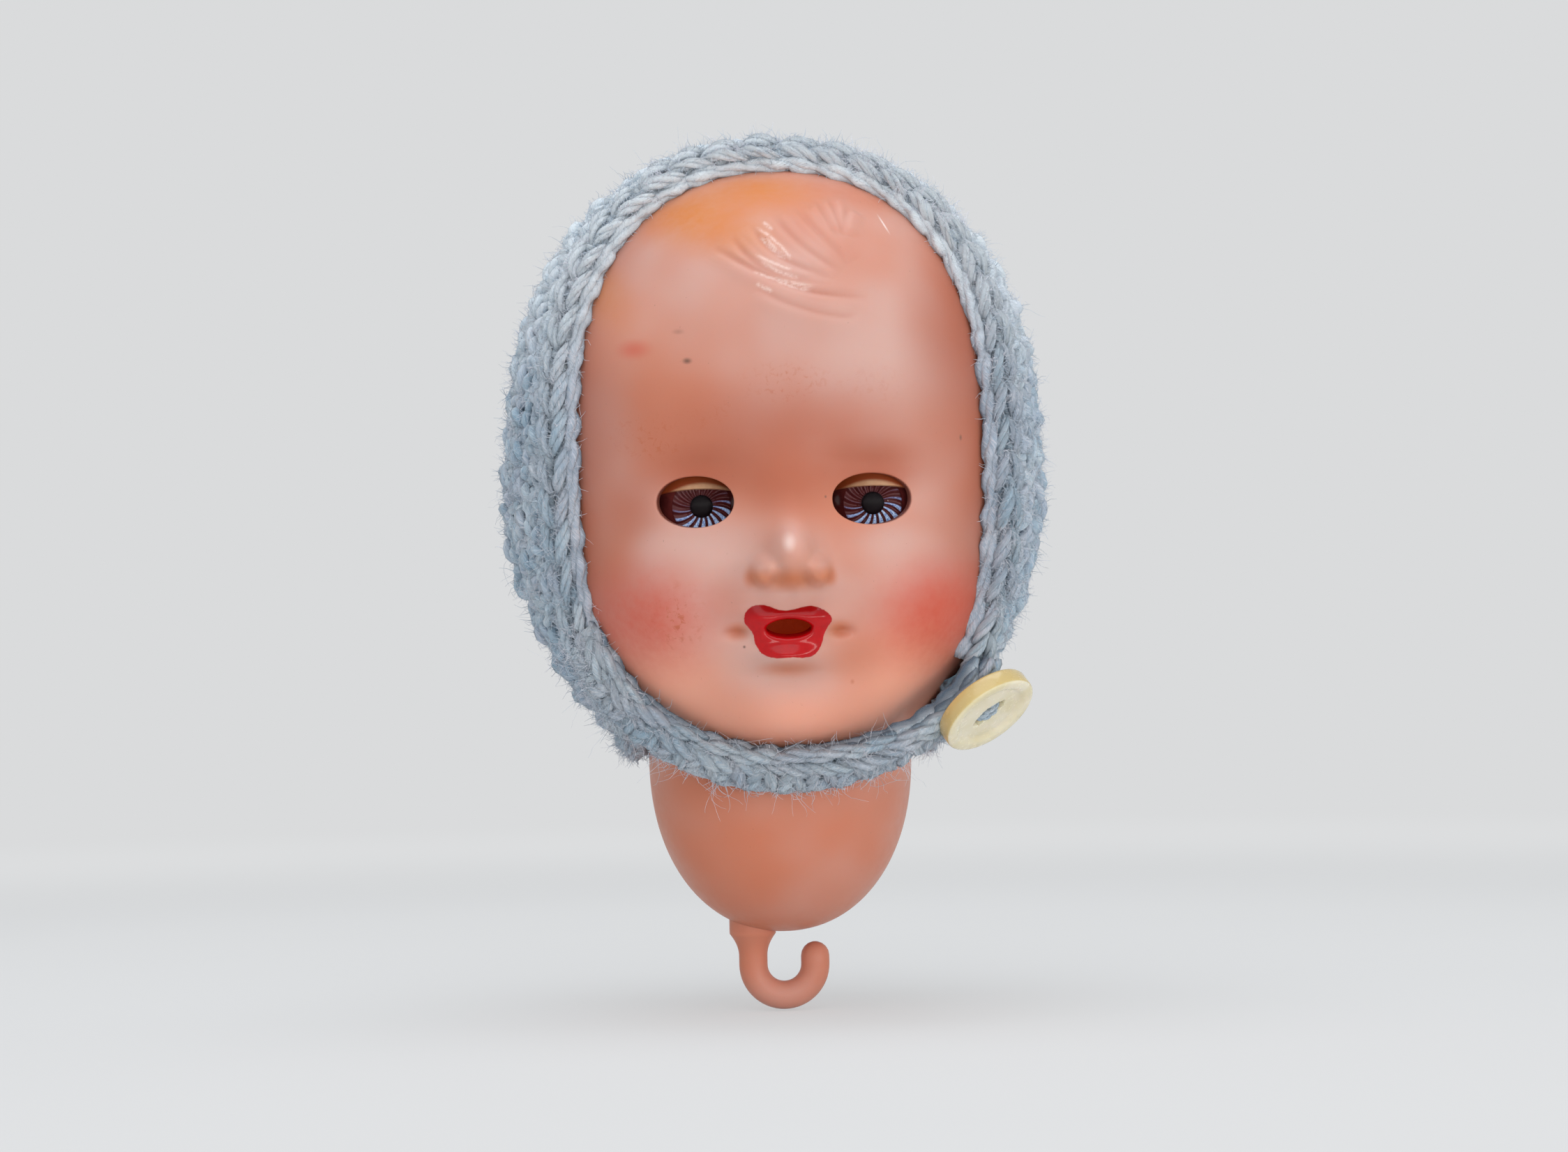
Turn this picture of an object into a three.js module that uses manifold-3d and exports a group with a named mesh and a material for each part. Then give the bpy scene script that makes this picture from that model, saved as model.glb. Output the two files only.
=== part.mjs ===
// A moulded plastic doll's head with sleeping eyes, in a crocheted bonnet that buttons under the chin.
// Millimetres, +Z up. The face looks along -Y and the doll's own left side is +X.
// The origin is the saddle of the neck's stringing hook, where the elastic of the doll's body would bear.
import * as THREE from 'three';
import { mergeVertices } from 'three/addons/utils/BufferGeometryUtils.js';
import Module from 'manifold-3d';

const wasm = await Module();
wasm.setup();

// Driving sizes

const head = {
  halfWidth: 27.8, // at the temples
  faceDepth: 27.2, // from the seam to the front of the face, before its features
  skullDepth: 32, // from the seam to the back of the skull
  top: 94.2,
  widest: 61, // height of the widest section
  chin: 26.2, // height at which the egg of the head would end
  wall: 1.6,
  fillet: 3, // between the head and the neck
  crownPower: 2.25, // powers of the superellipses: 2 is an ellipse, and more is squarer
  jawPower: 2.3,
  foreheadPower: 2.5,
  chinPower: 3.2,
  skullPower: 2.2,
  napePower: 1.8,
  sectionPower: 2.12,
};

const neck = {
  radius: 15.2,
  shoulder: 26, // height at which the bulb starts to round in
  bottom: 5.8,
  power: 2.15, // of the bulb's rounding: 2 is an ellipse
};

const seam = { tongue: 1.5, tongueWall: 0.8, tongueGap: 0.3 };

const hook = {
  rodRadius: 1.65,
  bendRadius: 3.6, // of the rod's middle line
  tipRise: 0.9, // straight rod past the bend, before its round tip
  flareRadius: 2.7,
  flareHeight: 2.2,
  flangeRadius: 3.4,
  flangeTop: 10.5,
  holeGap: 0.12,
  tipDegrees: [30, 60], // at which its round tip has its rings
};

const eye = {
  spacingShare: 0.3543, // pupil to pupil, of the head's width
  height: 55.5,
  openWidth: 8.5,
  openHeight: 5.7,
  setBack: 2.1, // from the face to the front of the ball
  ballRadius: 6,
  ballWall: 1,
  rearOpening: 3.2, // from the axle to the open rear of the ball
  pocketRadius: 3.3,
  pocketDepth: 1.7,
  gazeDropDegrees: 4.5,
  socketGap: 0.35,
  fitGap: 0.1,
};

const eyeX = eye.spacingShare * head.halfWidth;

const iris = {
  radius: 3.15,
  thickness: 0.45,
  reeds: 18,
  reedDepth: 0.16,
  hubRadius: 1.2,
  twistDegrees: 26,
};
const pupil = { radius: 1.3, thickness: 0.3, shoulderShare: 0.85 };
const lens = { radius: 3.2 };
const lid = { gap: 0.1, thickness: 0.4, halfWidth: 5.2, edgeDegrees: 12, wrapDegrees: 100 };

const bracket = { eyeGap: 0.95, thickness: 1.7, radius: 2.3 };
const bracketInner = eyeX + eye.ballRadius + bracket.eyeGap;
const axle = { radius: 0.8, gap: 0.08 };
const axleHalf = bracketInner + bracket.thickness - axle.gap;
const arm = {
  wireRadius: 0.8,
  hubRadius: 1.8,
  hubHalfLength: 2.4,
  reach: 17, // from the axle to the middle of the weight
  restDegrees: 22, // behind straight down, with the eyes open
  tailReach: 8.2,
  tailDegrees: 22, // behind straight up
};
const weight = { radius: 4, height: 7.4, chamfer: 1.1, gap: 0.1 };
const sleepDegrees = 50; // the rocker's travel
const bumper = { halfWidth: 3, height: 5, gap: 0.3, restDrop: 7.6, sleepRise: 6 };

const bonnet = {
  centreHeight: 62, // of the point that the rows turn round
  inside: 0.95, // from the head
  thickness: 2.1,
  rows: 12,
  rowRise: 1.3, // of the rounds above the grooves between them
  frontDegrees: 115.1, // the front edge's angle from the middle of the back, before its two waves
  frontWaveDegrees: 8.7,
  frontLeanDegrees: 0.4,
  hemFront: 36.5, // heights of the lower edge at the jaw, under the ear and at the nape
  hemEar: 27.5,
  hemNape: 29.5,
  hemCornerDepth: 12.5, // in front of the seam
  hemEarDepth: 4,
};
const edging = { radius: 1.55, gap: 0.3, stitches: 34, stitchRise: 0.22, endDegrees: 136 };
const strap = {
  sideShare: 0.892, // its middle line's half width seen from the front, of the head's
  riseShare: 0.7006, // and that oval's half height, of the height from chin to temples
  chinDrop: 1.1, // its middle line below the chin, at the throat
  width: 5.5,
  thickness: 2.3,
  startDegrees: 62, // from straight down, on the doll's right
  endDegrees: 53, // on its left, at the button
  endTab: 3.2, // past the button's middle
  buttonReach: 1.4, // how far the arc opens out towards the button
  throatLeanDegrees: 18, // how far the band faces away from the viewer, at the throat, corner and button
  cornerLeanDegrees: 35,
  buttonLeanDegrees: 60,
  normalShare: 0.64, // of the way round that the band's lean turns with it
  neckGap: 0.6,
  cornerDepthShare: 0.5735, // of the face's depth, in front of the seam
  stitches: 13,
  stitchRise: 0.2,
  holeRadius: 1.75,
};
const button = {
  radius: 5.75,
  thickness: 2.2,
  edge: 0.35, // of its rounded corners
  rimWidth: 1,
  dish: 0.45,
  eyeLength: 4.4,
  eyeWidth: 2,
  eyeDepth: 0.8,
  holeRadius: 0.75,
  holeSpacing: 2.5,
  standOff: 0.9, // from the strap
};
const thread = { radius: 0.6, shankRadius: 1.3, shankPast: 0.4, gap: 0.12 };

const overrun = 2; // how far cutters run past what they cut
const seat = 0.1; // clearance of a glued joint

// Steps of the meshes
const steps = {
  face: 32,
  back: 10,
  levels: 40,
  cavityAround: 18,
  cavityLevels: 16,
  bonnetAround: 30,
  liningAround: 30,
  lathe: 16,
};

// Materials

function plastic(color, roughness) {
  return new THREE.MeshStandardMaterial({ color, roughness, metalness: 0 });
}
const materials = {
  skin: plastic('#d99a86', 0.38),
  lid: plastic('#d8a07f', 0.5),
  eyeball: plastic('#3f1a1d', 0.15),
  iris: new THREE.MeshStandardMaterial({ color: '#6f8fc4', roughness: 0.3, metalness: 0.7 }),
  pupil: plastic('#0b0b10', 0.2),
  lens: new THREE.MeshStandardMaterial({
    color: '#ffffff',
    roughness: 0.05,
    transparent: true,
    opacity: 0.25,
  }),
  steel: new THREE.MeshStandardMaterial({ color: '#9c9a96', roughness: 0.35, metalness: 1 }),
  lead: new THREE.MeshStandardMaterial({ color: '#6d6e73', roughness: 0.6, metalness: 1 }),
  cork: plastic('#b08a5c', 0.9),
  bracket: plastic('#c98873', 0.5),
  wool: plastic('#b4c8d8', 0.95),
  button: plastic('#e6dcae', 0.3),
};

// Solids from meshes, and back

function solid(geometry) {
  const bare = geometry.index ? geometry.toNonIndexed() : geometry.clone();
  bare.deleteAttribute('normal');
  bare.deleteAttribute('uv');
  const merged = mergeVertices(bare, 1e-5);
  return new wasm.Manifold(new wasm.Mesh({
    numProp: 3,
    vertProperties: merged.attributes.position.array,
    triVerts: new Uint32Array(merged.index.array),
  }));
}

function geometryOf(made) {
  const mesh = made.getMesh();
  const places = new Float32Array(mesh.numVert * 3);
  for (let i = 0; i < mesh.numVert; i++) {
    places.set(mesh.vertProperties.subarray(i * mesh.numProp, i * mesh.numProp + 3), i * 3);
  }
  const geometry = new THREE.BufferGeometry();
  geometry.setAttribute('position', new THREE.BufferAttribute(places, 3));
  geometry.setIndex(new THREE.BufferAttribute(mesh.triVerts, 1));
  const flat = geometry.toNonIndexed();
  flat.computeVertexNormals();
  return flat;
}

const root = new THREE.Group();

function add(name, geometry, material) {
  const mesh = new THREE.Mesh(geometry, material);
  mesh.name = name;
  root.add(mesh);
  return mesh;
}

// A closed body from rings of points, each ring closed on itself, with a point or a flat fan at each end.
function ringBody(rings) {
  const places = [];
  const faces = [];
  const around = rings.find((ring) => ring.length > 1).length;
  const starts = [];
  for (const ring of rings) {
    starts.push(places.length);
    places.push(...ring);
  }
  for (let i = 0; i + 1 < rings.length; i++) {
    const low = starts[i];
    const high = starts[i + 1];
    for (let j = 0; j < around; j++) {
      const k = (j + 1) % around;
      if (rings[i].length > 1) {
        const apex = rings[i + 1].length > 1 ? high + k : high;
        faces.push(low + j, low + k, apex);
      }
      if (rings[i + 1].length > 1) {
        const apex = rings[i].length > 1 ? low + j : low;
        faces.push(apex, high + k, high + j);
      }
    }
  }
  const ends = [[starts[0], rings[0]], [starts.at(-1), rings.at(-1)]];
  ends.forEach(([start, ring], end) => {
    if (ring.length === 1) return;
    const middle = places.length;
    const sum = ring.reduce((total, p) => total.add(p), new THREE.Vector3());
    places.push(sum.divideScalar(ring.length));
    for (let j = 0; j < around; j++) {
      const k = (j + 1) % around;
      faces.push(...(end ? [start + j, start + k, middle] : [start + k, start + j, middle]));
    }
  });
  const geometry = new THREE.BufferGeometry().setFromPoints(places);
  geometry.setIndex(faces);
  const flat = geometry.toNonIndexed();
  flat.computeVertexNormals();
  return flat;
}

function box(from, to) {
  const size = to.clone().sub(from);
  const middle = from.clone().add(to).multiplyScalar(0.5);
  return new THREE.BoxGeometry(size.x, size.y, size.z).translate(middle.x, middle.y, middle.z);
}

function rodAlongX(radius, from, to, sides = 16) {
  return new THREE.CylinderGeometry(radius, radius, to - from, sides)
    .rotateZ(Math.PI / 2)
    .translate((from + to) / 2, 0, 0);
}

const radians = THREE.MathUtils.degToRad;
const point = (x, y, z) => new THREE.Vector3(x, y, z);

// The head's outline, level by level. Each quarter is a superellipse, and the neck's bulb is blended in.

function eggShare(rise, power) {
  return rise < 1 ? (1 - rise ** power) ** (1 / power) : -1;
}

function blendedLarger(a, b, reach) {
  const near = Math.max(reach - Math.abs(a - b), 0) / reach;
  return Math.max(a, b) + near * near * reach / 4;
}

function neckRadiusAt(z) {
  if (z > head.widest) return -neck.radius;
  const drop = Math.max(neck.shoulder - z, 0) / (neck.shoulder - neck.bottom);
  return neck.radius * Math.max(1 - drop ** neck.power, 0) ** (1 / neck.power);
}

function sectionAt(z) {
  const above = z >= head.widest;
  const span = above ? head.top - head.widest : head.chin - head.widest;
  const rise = (z - head.widest) / span;
  const around = neckRadiusAt(z);
  const sizes = [
    [head.halfWidth, head.crownPower, head.jawPower],
    [head.faceDepth, head.foreheadPower, head.chinPower],
    [head.skullDepth, head.skullPower, head.napePower],
  ];
  return sizes.map(([size, upper, lower]) => {
    const egg = size * eggShare(rise, above ? upper : lower);
    return Math.max(blendedLarger(egg, around, head.fillet), 0);
  });
}

// Evenly spaced stations from the bottom of the neck to the crown, by length along the mean outline.
const outline = (() => {
  const fine = 900;
  const found = [];
  let length = 0;
  for (let i = 0; i <= fine; i++) {
    const swing = (1 - Math.cos((Math.PI * i) / fine)) / 2;
    const z = neck.bottom + (head.top - neck.bottom) * swing;
    const [side, front, back] = i === 0 || i === fine ? [0, 0, 0] : sectionAt(z);
    const last = found.at(-1);
    const mean = (side + front + back) / 3;
    if (last) length += Math.hypot(z - last.z, mean - (last.side + last.front + last.back) / 3);
    found.push({ z, side, front, back, length });
  }
  found.forEach((entry) => { entry.share = entry.length / length; });
  return found;
})();

function stationAt(share) {
  const wanted = Math.min(Math.max(share, 0), 1);
  let low = 0;
  let high = outline.length - 1;
  while (high - low > 1) {
    const middle = (low + high) >> 1;
    if (outline[middle].share <= wanted) low = middle;
    else high = middle;
  }
  const [p, q] = [outline[low], outline[high]];
  const mix = (wanted - p.share) / (q.share - p.share);
  const between = (key) => p[key] + (q[key] - p[key]) * mix;
  return { z: between('z'), side: between('side'), front: between('front'), back: between('back') };
}

function basePoint(share, angle) {
  const { z, side, front, back } = stationAt(share);
  const [s, c] = [Math.sin(angle), Math.cos(angle)];
  const power = 2 / head.sectionPower;
  const across = Math.sign(s) * Math.abs(s) ** power;
  const along = Math.abs(c) < 1e-9 ? 0 : Math.sign(c) * Math.abs(c) ** power;
  return point(side * across, -(c > 0 ? front : back) * along, z);
}

function baseNormal(share, angle) {
  const step = 0.004;
  if (share < step) return point(0, 0, -1);
  if (share > 1 - step) return point(0, 0, 1);
  const up = basePoint(share + step, angle).sub(basePoint(share - step, angle));
  const round = basePoint(share, angle + step).sub(basePoint(share, angle - step));
  return round.cross(up).normalize();
}

// Features of the face, by row: the place across and up, the reach across, up and down, and the rise.
// Across is a share of head.halfWidth, up and down are of head.top, and the rise is of head.faceDepth.
const featureShares = {
  forehead: [0, 0.8386, 0.6475, 0.1274, 0.1274, 0.0331],
  bridgeNose: [0, 0.5998, 0.1295, 0.0531, 0.0637, 0.0331],
  nose: [0, 0.5308, 0.1403, 0.0531, 0.0393, 0.1324],
  wingsNose: [0.1349, 0.5096, 0.0629, 0.0212, 0.0186, 0.0772],
  sockets: [0.3597, 0.6051, 0.2302, 0.0488, 0.0446, -0.0478],
  cheeks: [0.5108, 0.4671, 0.2698, 0.0743, 0.0796, 0.0699],
  muzzle: [0, 0.4374, 0.2698, 0.0573, 0.0531, 0.0625],
  upperLip: [0.0827, 0.4544, 0.0827, 0.0117, 0.0106, 0.0257],
  lowerLip: [0, 0.4098, 0.1151, 0.0117, 0.0127, 0.0386],
  cornersMouth: [0.2122, 0.4331, 0.0468, 0.0106, 0.0106, -0.0257],
  underLowerLip: [0, 0.3843, 0.1583, 0.0117, 0.0138, -0.0294],
  chin: [0, 0.3439, 0.2374, 0.0425, 0.0382, 0.0735],
};
const pairedFeatures = ['wingsNose', 'sockets', 'cheeks', 'upperLip', 'cornersMouth'];
// These show inside the shell too.
const throughFeatures = ['forehead', 'sockets', 'cheeks', 'muzzle', 'chin'];
const ballFeatures = ['nose', 'wingsNose']; // rounder than the rest
const features = Object.entries(featureShares).map(([name, [x, z, across, up, down, rise]]) => ({
  x: x * head.halfWidth,
  z: z * head.top,
  acrossReach: across * head.halfWidth,
  reachUp: up * head.top,
  reachDown: down * head.top,
  rise: rise * head.faceDepth,
  isPaired: pairedFeatures.includes(name),
  isThrough: throughFeatures.includes(name),
  isBall: ballFeatures.includes(name),
}));
const ear = { height: 53, back: 4, alongReach: 3.4, upReach: 5.6, rise: 1.1, woolShare: 1.4 };
const mouth = { height: 41.3, openWidth: 5, openHeight: 2 };

function bell(value, reach) {
  return Math.exp(-((value / reach) ** 2));
}

function reliefAt(p, inside) {
  let rise = Math.abs(p.x) > head.halfWidth / 2
    ? ear.rise * bell(p.y - ear.back, ear.alongReach) * bell(p.z - ear.height, ear.upReach)
    : 0;
  if (p.y >= 0) return rise;
  for (const f of features) {
    if (inside && !f.isThrough) continue;
    const up = (p.z - f.z) / (p.z > f.z ? f.reachUp : f.reachDown);
    for (const x of f.isPaired ? [-f.x, f.x] : [f.x]) {
      const reach = Math.hypot((p.x - x) / f.acrossReach, up);
      rise += f.rise * Math.exp(-(reach ** (f.isBall ? 3 : 2)));
    }
  }
  return rise;
}

function headPoint(share, angle, offset, inside) {
  const base = basePoint(share, angle);
  return base.addScaledVector(baseNormal(share, angle), offset + reliefAt(base, inside));
}

// Columns round the head: closer together over the middle of the face, with one on each side of the seam.
function columns(faceSteps, backSteps, crowding) {
  const found = [];
  for (let i = 0; i < faceSteps; i++) {
    const u = (2 * i) / faceSteps - 1;
    found.push((Math.PI / 2) * u * (crowding + (1 - crowding) * u * u));
  }
  for (let i = 0; i < backSteps; i++) found.push(Math.PI / 2 + (Math.PI * i) / backSteps);
  return found;
}

// Levels: closer together between the chin and the brow.
function levels(count, crowding) {
  const middleShare = 0.47;
  const widthShare = 0.16;
  const weights = [];
  let total = 0;
  for (let i = 0; i < count; i++) {
    const density = 1 + crowding * bell((i + 0.5) / count - middleShare, widthShare);
    total += 1 / density;
    weights.push(total);
  }
  return weights.slice(0, -1).map((w) => w / total);
}

function headSolid(offset, inside) {
  const angles = inside
    ? columns(steps.cavityAround / 2, steps.cavityAround / 2, 1)
    : columns(steps.face, steps.back, 0.62);
  const shares = inside ? levels(steps.cavityLevels, 0) : levels(steps.levels, 1.1);
  const rings = [[point(0, 0, neck.bottom - offset)]];
  for (const share of shares) rings.push(angles.map((angle) => headPoint(share, angle, offset, inside)));
  rings.push([point(0, 0, head.top + offset)]);
  return solid(ringBody(rings));
}

const far = head.top * 2;
const frontHalf = solid(box(point(-far, -far, -far), point(far, 0, far)));
const backHalf = solid(box(point(-far, 0, -far), point(far, far, far)));
const outside = headSolid(0, false);
const cavity = headSolid(-head.wall, true);
const cavitySeat = headSolid(-head.wall - seat, true);

// Depth of the face's surface at a place seen from the front.
function faceDepthAt(x, z) {
  let best = 0;
  let gap = Infinity;
  for (let i = 1; i < 200; i++) {
    const share = i / 200;
    if (Math.abs(stationAt(share).z - z) < gap) {
      gap = Math.abs(stationAt(share).z - z);
      best = share;
    }
  }
  let angle = 0;
  for (let i = 0; i < 90; i++) {
    if (basePoint(best, radians(i)).x <= Math.abs(x)) angle = radians(i);
  }
  return headPoint(best, angle, 0, false).y;
}

const axlePlace = point(0, faceDepthAt(eyeX, eye.height) + eye.setBack + eye.ballRadius, eye.height);

// Neck hook

const hookStem = -hook.bendRadius;
const stemAxis = (made) => made.rotateX(Math.PI / 2).translate(hookStem, 0, 0);

function stemHole(radius) {
  const length = hook.flangeTop + overrun - neck.bottom + hook.flareHeight;
  return stemAxis(new THREE.CylinderGeometry(radius, radius, length, 24))
    .translate(0, 0, neck.bottom - hook.flareHeight + length / 2);
}

function buildHook() {
  const centreHeight = hook.bendRadius - hook.rodRadius;
  const rise = hook.flangeTop - centreHeight;
  const tipTop = hook.tipRise;
  const at = (x, z) => point(x, 0, centreHeight + z);
  const line = [];
  const stemSteps = 2;
  for (let i = 0; i <= stemSteps; i++) line.push(at(hookStem, rise * (1 - i / stemSteps)));
  const bendSteps = 10;
  for (let i = 1; i <= bendSteps; i++) {
    const turn = Math.PI * (1 + i / bendSteps);
    line.push(at(hook.bendRadius * Math.cos(turn), hook.bendRadius * Math.sin(turn)));
  }
  line.push(at(hook.bendRadius, tipTop));
  const rings = line.map((p, i) => {
    const before = line[Math.max(i - 1, 0)];
    const after = line[Math.min(i + 1, line.length - 1)];
    return rodRing(p, after.clone().sub(before).normalize(), hook.rodRadius);
  });
  for (const lift of hook.tipDegrees) {
    const centre = at(hook.bendRadius, tipTop + hook.rodRadius * Math.sin(radians(lift)));
    rings.push(rodRing(centre, point(0, 0, 1), hook.rodRadius * Math.cos(radians(lift))));
  }
  rings.push([at(hook.bendRadius, tipTop + hook.rodRadius)]);
  const rod = solid(ringBody(rings));
  // The root flares against the neck outside, and has a flange inside it.
  const lowest = neck.bottom - hook.flareHeight / 2;
  const flareProfile = [];
  const flareSteps = 4;
  flareProfile.push(new THREE.Vector2(0, lowest));
  for (let i = 0; i <= flareSteps; i++) {
    const share = i / flareSteps;
    flareProfile.push(new THREE.Vector2(
      hook.rodRadius + (hook.flareRadius - hook.rodRadius) * share ** 3,
      lowest + hook.flareHeight * share,
    ));
  }
  flareProfile.push(new THREE.Vector2(0, lowest + hook.flareHeight));
  const flare = solid(stemAxis(new THREE.LatheGeometry(flareProfile, 16))).subtract(headSolid(seat, false));
  const flangeLength = hook.flangeTop - neck.bottom;
  const disc = new THREE.CylinderGeometry(hook.flangeRadius, hook.flangeRadius, flangeLength, 24);
  const flange = solid(stemAxis(disc).translate(0, 0, neck.bottom + flangeLength / 2))
    .intersect(cavitySeat);
  return rod.add(flare).add(flange);
}

function rodRing(centre, along, radius, sides = 12) {
  const acrossY = point(0, 1, 0);
  const other = acrossY.clone().cross(along).normalize();
  const ring = [];
  for (let i = 0; i < sides; i++) {
    const turn = (2 * Math.PI * i) / sides;
    ring.push(centre.clone()
      .addScaledVector(other, radius * Math.cos(turn))
      .addScaledVector(acrossY, radius * Math.sin(turn)));
  }
  return ring;
}

// The two halves of the head, cemented together at the seam. The rear one carries a locating tongue.

function ovalCutter(x, z, width, height) {
  const shape = new THREE.Shape();
  shape.absellipse(0, 0, width / 2, height / 2, 0, 2 * Math.PI);
  const depth = head.faceDepth;
  return new THREE.ExtrudeGeometry(shape, { depth, bevelEnabled: false, curveSegments: 14 })
    .rotateX(Math.PI / 2)
    .translate(x, -head.faceDepth / 2, z);
}

function ball(radius, x, wide = 20, high = 12) {
  return new THREE.SphereGeometry(radius, wide, high)
    .rotateZ(Math.PI / 2)
    .translate(x, axlePlace.y, axlePlace.z);
}

const sides = [{ name: 'right', x: -eyeX, sign: -1 }, { name: 'left', x: eyeX, sign: 1 }];
const lidOuter = eye.ballRadius + lid.gap + lid.thickness;

function buildFace() {
  let shell = outside.subtract(cavity).intersect(frontHalf);
  for (const { x } of sides) {
    shell = shell.subtract(solid(ball(lidOuter + eye.socketGap, x)));
    shell = shell.subtract(solid(ovalCutter(x, eye.height, eye.openWidth, eye.openHeight)));
  }
  shell = shell.subtract(solid(ovalCutter(0, mouth.height, mouth.openWidth, mouth.openHeight)));
  return shell.subtract(solid(stemHole(hook.rodRadius + hook.holeGap)));
}

function buildBack() {
  const shell = outside.subtract(cavity).intersect(backHalf);
  const innerOffset = -head.wall - seam.tongueGap - seam.tongueWall;
  const ring = headSolid(-head.wall - seam.tongueGap, true).subtract(headSolid(innerOffset, true));
  const tongue = ring.intersect(solid(box(point(-far, -seam.tongue, -far), point(far, seam.tongue, far))));
  const rib = headSolid(-head.wall / 2, true).subtract(headSolid(innerOffset, true))
    .intersect(solid(box(point(-far, seam.tongue / 4, -far), point(far, seam.tongue, far))));
  const flangeRoom = solid(stemAxis(new THREE.CylinderGeometry(
    hook.flangeRadius + seam.tongueGap,
    hook.flangeRadius + seam.tongueGap,
    hook.flangeTop,
    24,
  )).translate(0, 0, hook.flangeTop / 2 + head.wall)).intersect(cavity);
  return shell.add(tongue.subtract(flangeRoom)).add(rib.subtract(flangeRoom))
    .subtract(solid(stemHole(hook.rodRadius + hook.holeGap)));
}

// The eyes: each a hollow ball with a pocket in front for the reeded iris, its pupil and the clear dome.

function inEye(geometry, x) {
  return geometry.rotateX(-radians(eye.gazeDropDegrees)).translate(x, axlePlace.y, axlePlace.z);
}

// A turned piece, from a profile of (radius, distance in front of the axle).
function turnedEyePiece(profile, x, turns = steps.lathe) {
  const points = profile.map(([radius, front]) => new THREE.Vector2(radius, front));
  return inEye(new THREE.LatheGeometry(points, turns).rotateX(Math.PI), x);
}

const pocketFloor = eye.ballRadius - eye.pocketDepth;

function buildEyeball(x) {
  const cup = solid(turnedEyePiece([
    [0, pocketFloor],
    [eye.pocketRadius, pocketFloor],
    ...ballArc(eye.ballRadius, eye.pocketRadius, -eye.rearOpening, 7),
    ...ballArc(eye.ballRadius - eye.ballWall, 0, -eye.rearOpening, 4)
      .reverse()
      .map(([radius, front]) => [radius, Math.min(front, pocketFloor - eye.ballWall)]),
  ].reverse(), x));
  return cup.subtract(solid(rodAlongX(axle.radius + eye.fitGap, x - far, x + far)
    .translate(0, axlePlace.y, axlePlace.z)));
}

// Points along a ball's outline, from a radius near its front to a depth behind its middle.
function ballArc(ballRadius, startRadius, endFront, count) {
  const from = Math.asin(startRadius / ballRadius);
  const to = Math.acos(endFront / ballRadius);
  const found = [];
  for (let i = 0; i <= count; i++) {
    const turn = from + ((to - from) * i) / count;
    found.push([ballRadius * Math.sin(turn), ballRadius * Math.cos(turn)]);
  }
  return found;
}

const irisBack = pocketFloor + eye.fitGap;
const irisFront = irisBack + iris.thickness;

// The reeds are grooves that sweep out from the pupil.
function buildIris(x) {
  const around = iris.reeds * 2;
  const ringAt = (radius, front, grooved) => {
    const share = (radius - iris.hubRadius) / (iris.radius - iris.hubRadius);
    const ring = [];
    for (let i = 0; i < around; i++) {
      const turn = (2 * Math.PI * i) / around + radians(iris.twistDegrees) * share * share;
      const dip = grooved && i % 2 ? iris.reedDepth : 0;
      ring.push(point(radius * Math.cos(turn), -(front - dip), radius * Math.sin(turn)));
    }
    return ring;
  };
  const middle = (iris.radius + iris.hubRadius) / 2;
  const rings = [
    [point(0, -irisBack, 0)],
    ringAt(iris.radius, irisBack, false),
    ringAt(iris.radius, irisFront, true),
    ringAt(middle, irisFront, true),
    ringAt(iris.hubRadius, irisFront, true),
    [point(0, -irisFront + iris.reedDepth, 0)],
  ];
  return inEye(ringBody(rings), x);
}

const pupilBack = irisFront + eye.fitGap;

function buildPupil(x) {
  return turnedEyePiece([
    [0, pupilBack],
    [pupil.radius, pupilBack],
    [pupil.radius, pupilBack + pupil.thickness / 2],
    [pupil.radius * Math.SQRT1_2, pupilBack + pupil.thickness * pupil.shoulderShare],
    [0, pupilBack + pupil.thickness],
  ], x);
}

function buildLens(x) {
  const behindPupil = pupilBack + pupil.thickness + eye.fitGap;
  return turnedEyePiece([
    [0, behindPupil],
    [pupil.radius + eye.fitGap, behindPupil],
    [pupil.radius + eye.fitGap, pupilBack],
    [lens.radius, pupilBack],
    ...ballArc(eye.ballRadius, lens.radius, eye.ballRadius, 5),
  ], x);
}

// The lid is a strip of a shell over the ball, between two planes through the axle.
function buildLid(x) {
  const shell = solid(ball(lidOuter, x)).subtract(solid(ball(eye.ballRadius + lid.gap, x)));
  const span = eye.ballRadius * 2;
  const block = (turn, side) => solid(
    box(point(-lid.halfWidth, -span, side > 0 ? 0 : -span), point(lid.halfWidth, span, side > 0 ? span : 0))
      .rotateX(-radians(turn))
      .translate(x, axlePlace.y, axlePlace.z),
  );
  return shell.intersect(block(lid.edgeDegrees, 1)).intersect(block(lid.edgeDegrees + lid.wrapDegrees, -1));
}

// The rocker: an axle through both eyes, and a bent wire with a lead weight that swings them.

function aboutAxle(reach, degrees) {
  const turn = radians(degrees);
  return point(0, axlePlace.y + reach * Math.sin(turn), axlePlace.z - reach * Math.cos(turn));
}

function rodBetween(from, to, radius, sides = 12) {
  const along = to.clone().sub(from);
  const turn = new THREE.Quaternion().setFromUnitVectors(point(0, 1, 0), along.clone().normalize());
  const middle = from.clone().add(to).multiplyScalar(0.5);
  return new THREE.CylinderGeometry(radius, radius, along.length(), sides)
    .applyQuaternion(turn)
    .translate(middle.x, middle.y, middle.z);
}

const tailTurn = 180 - arm.tailDegrees;

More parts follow.
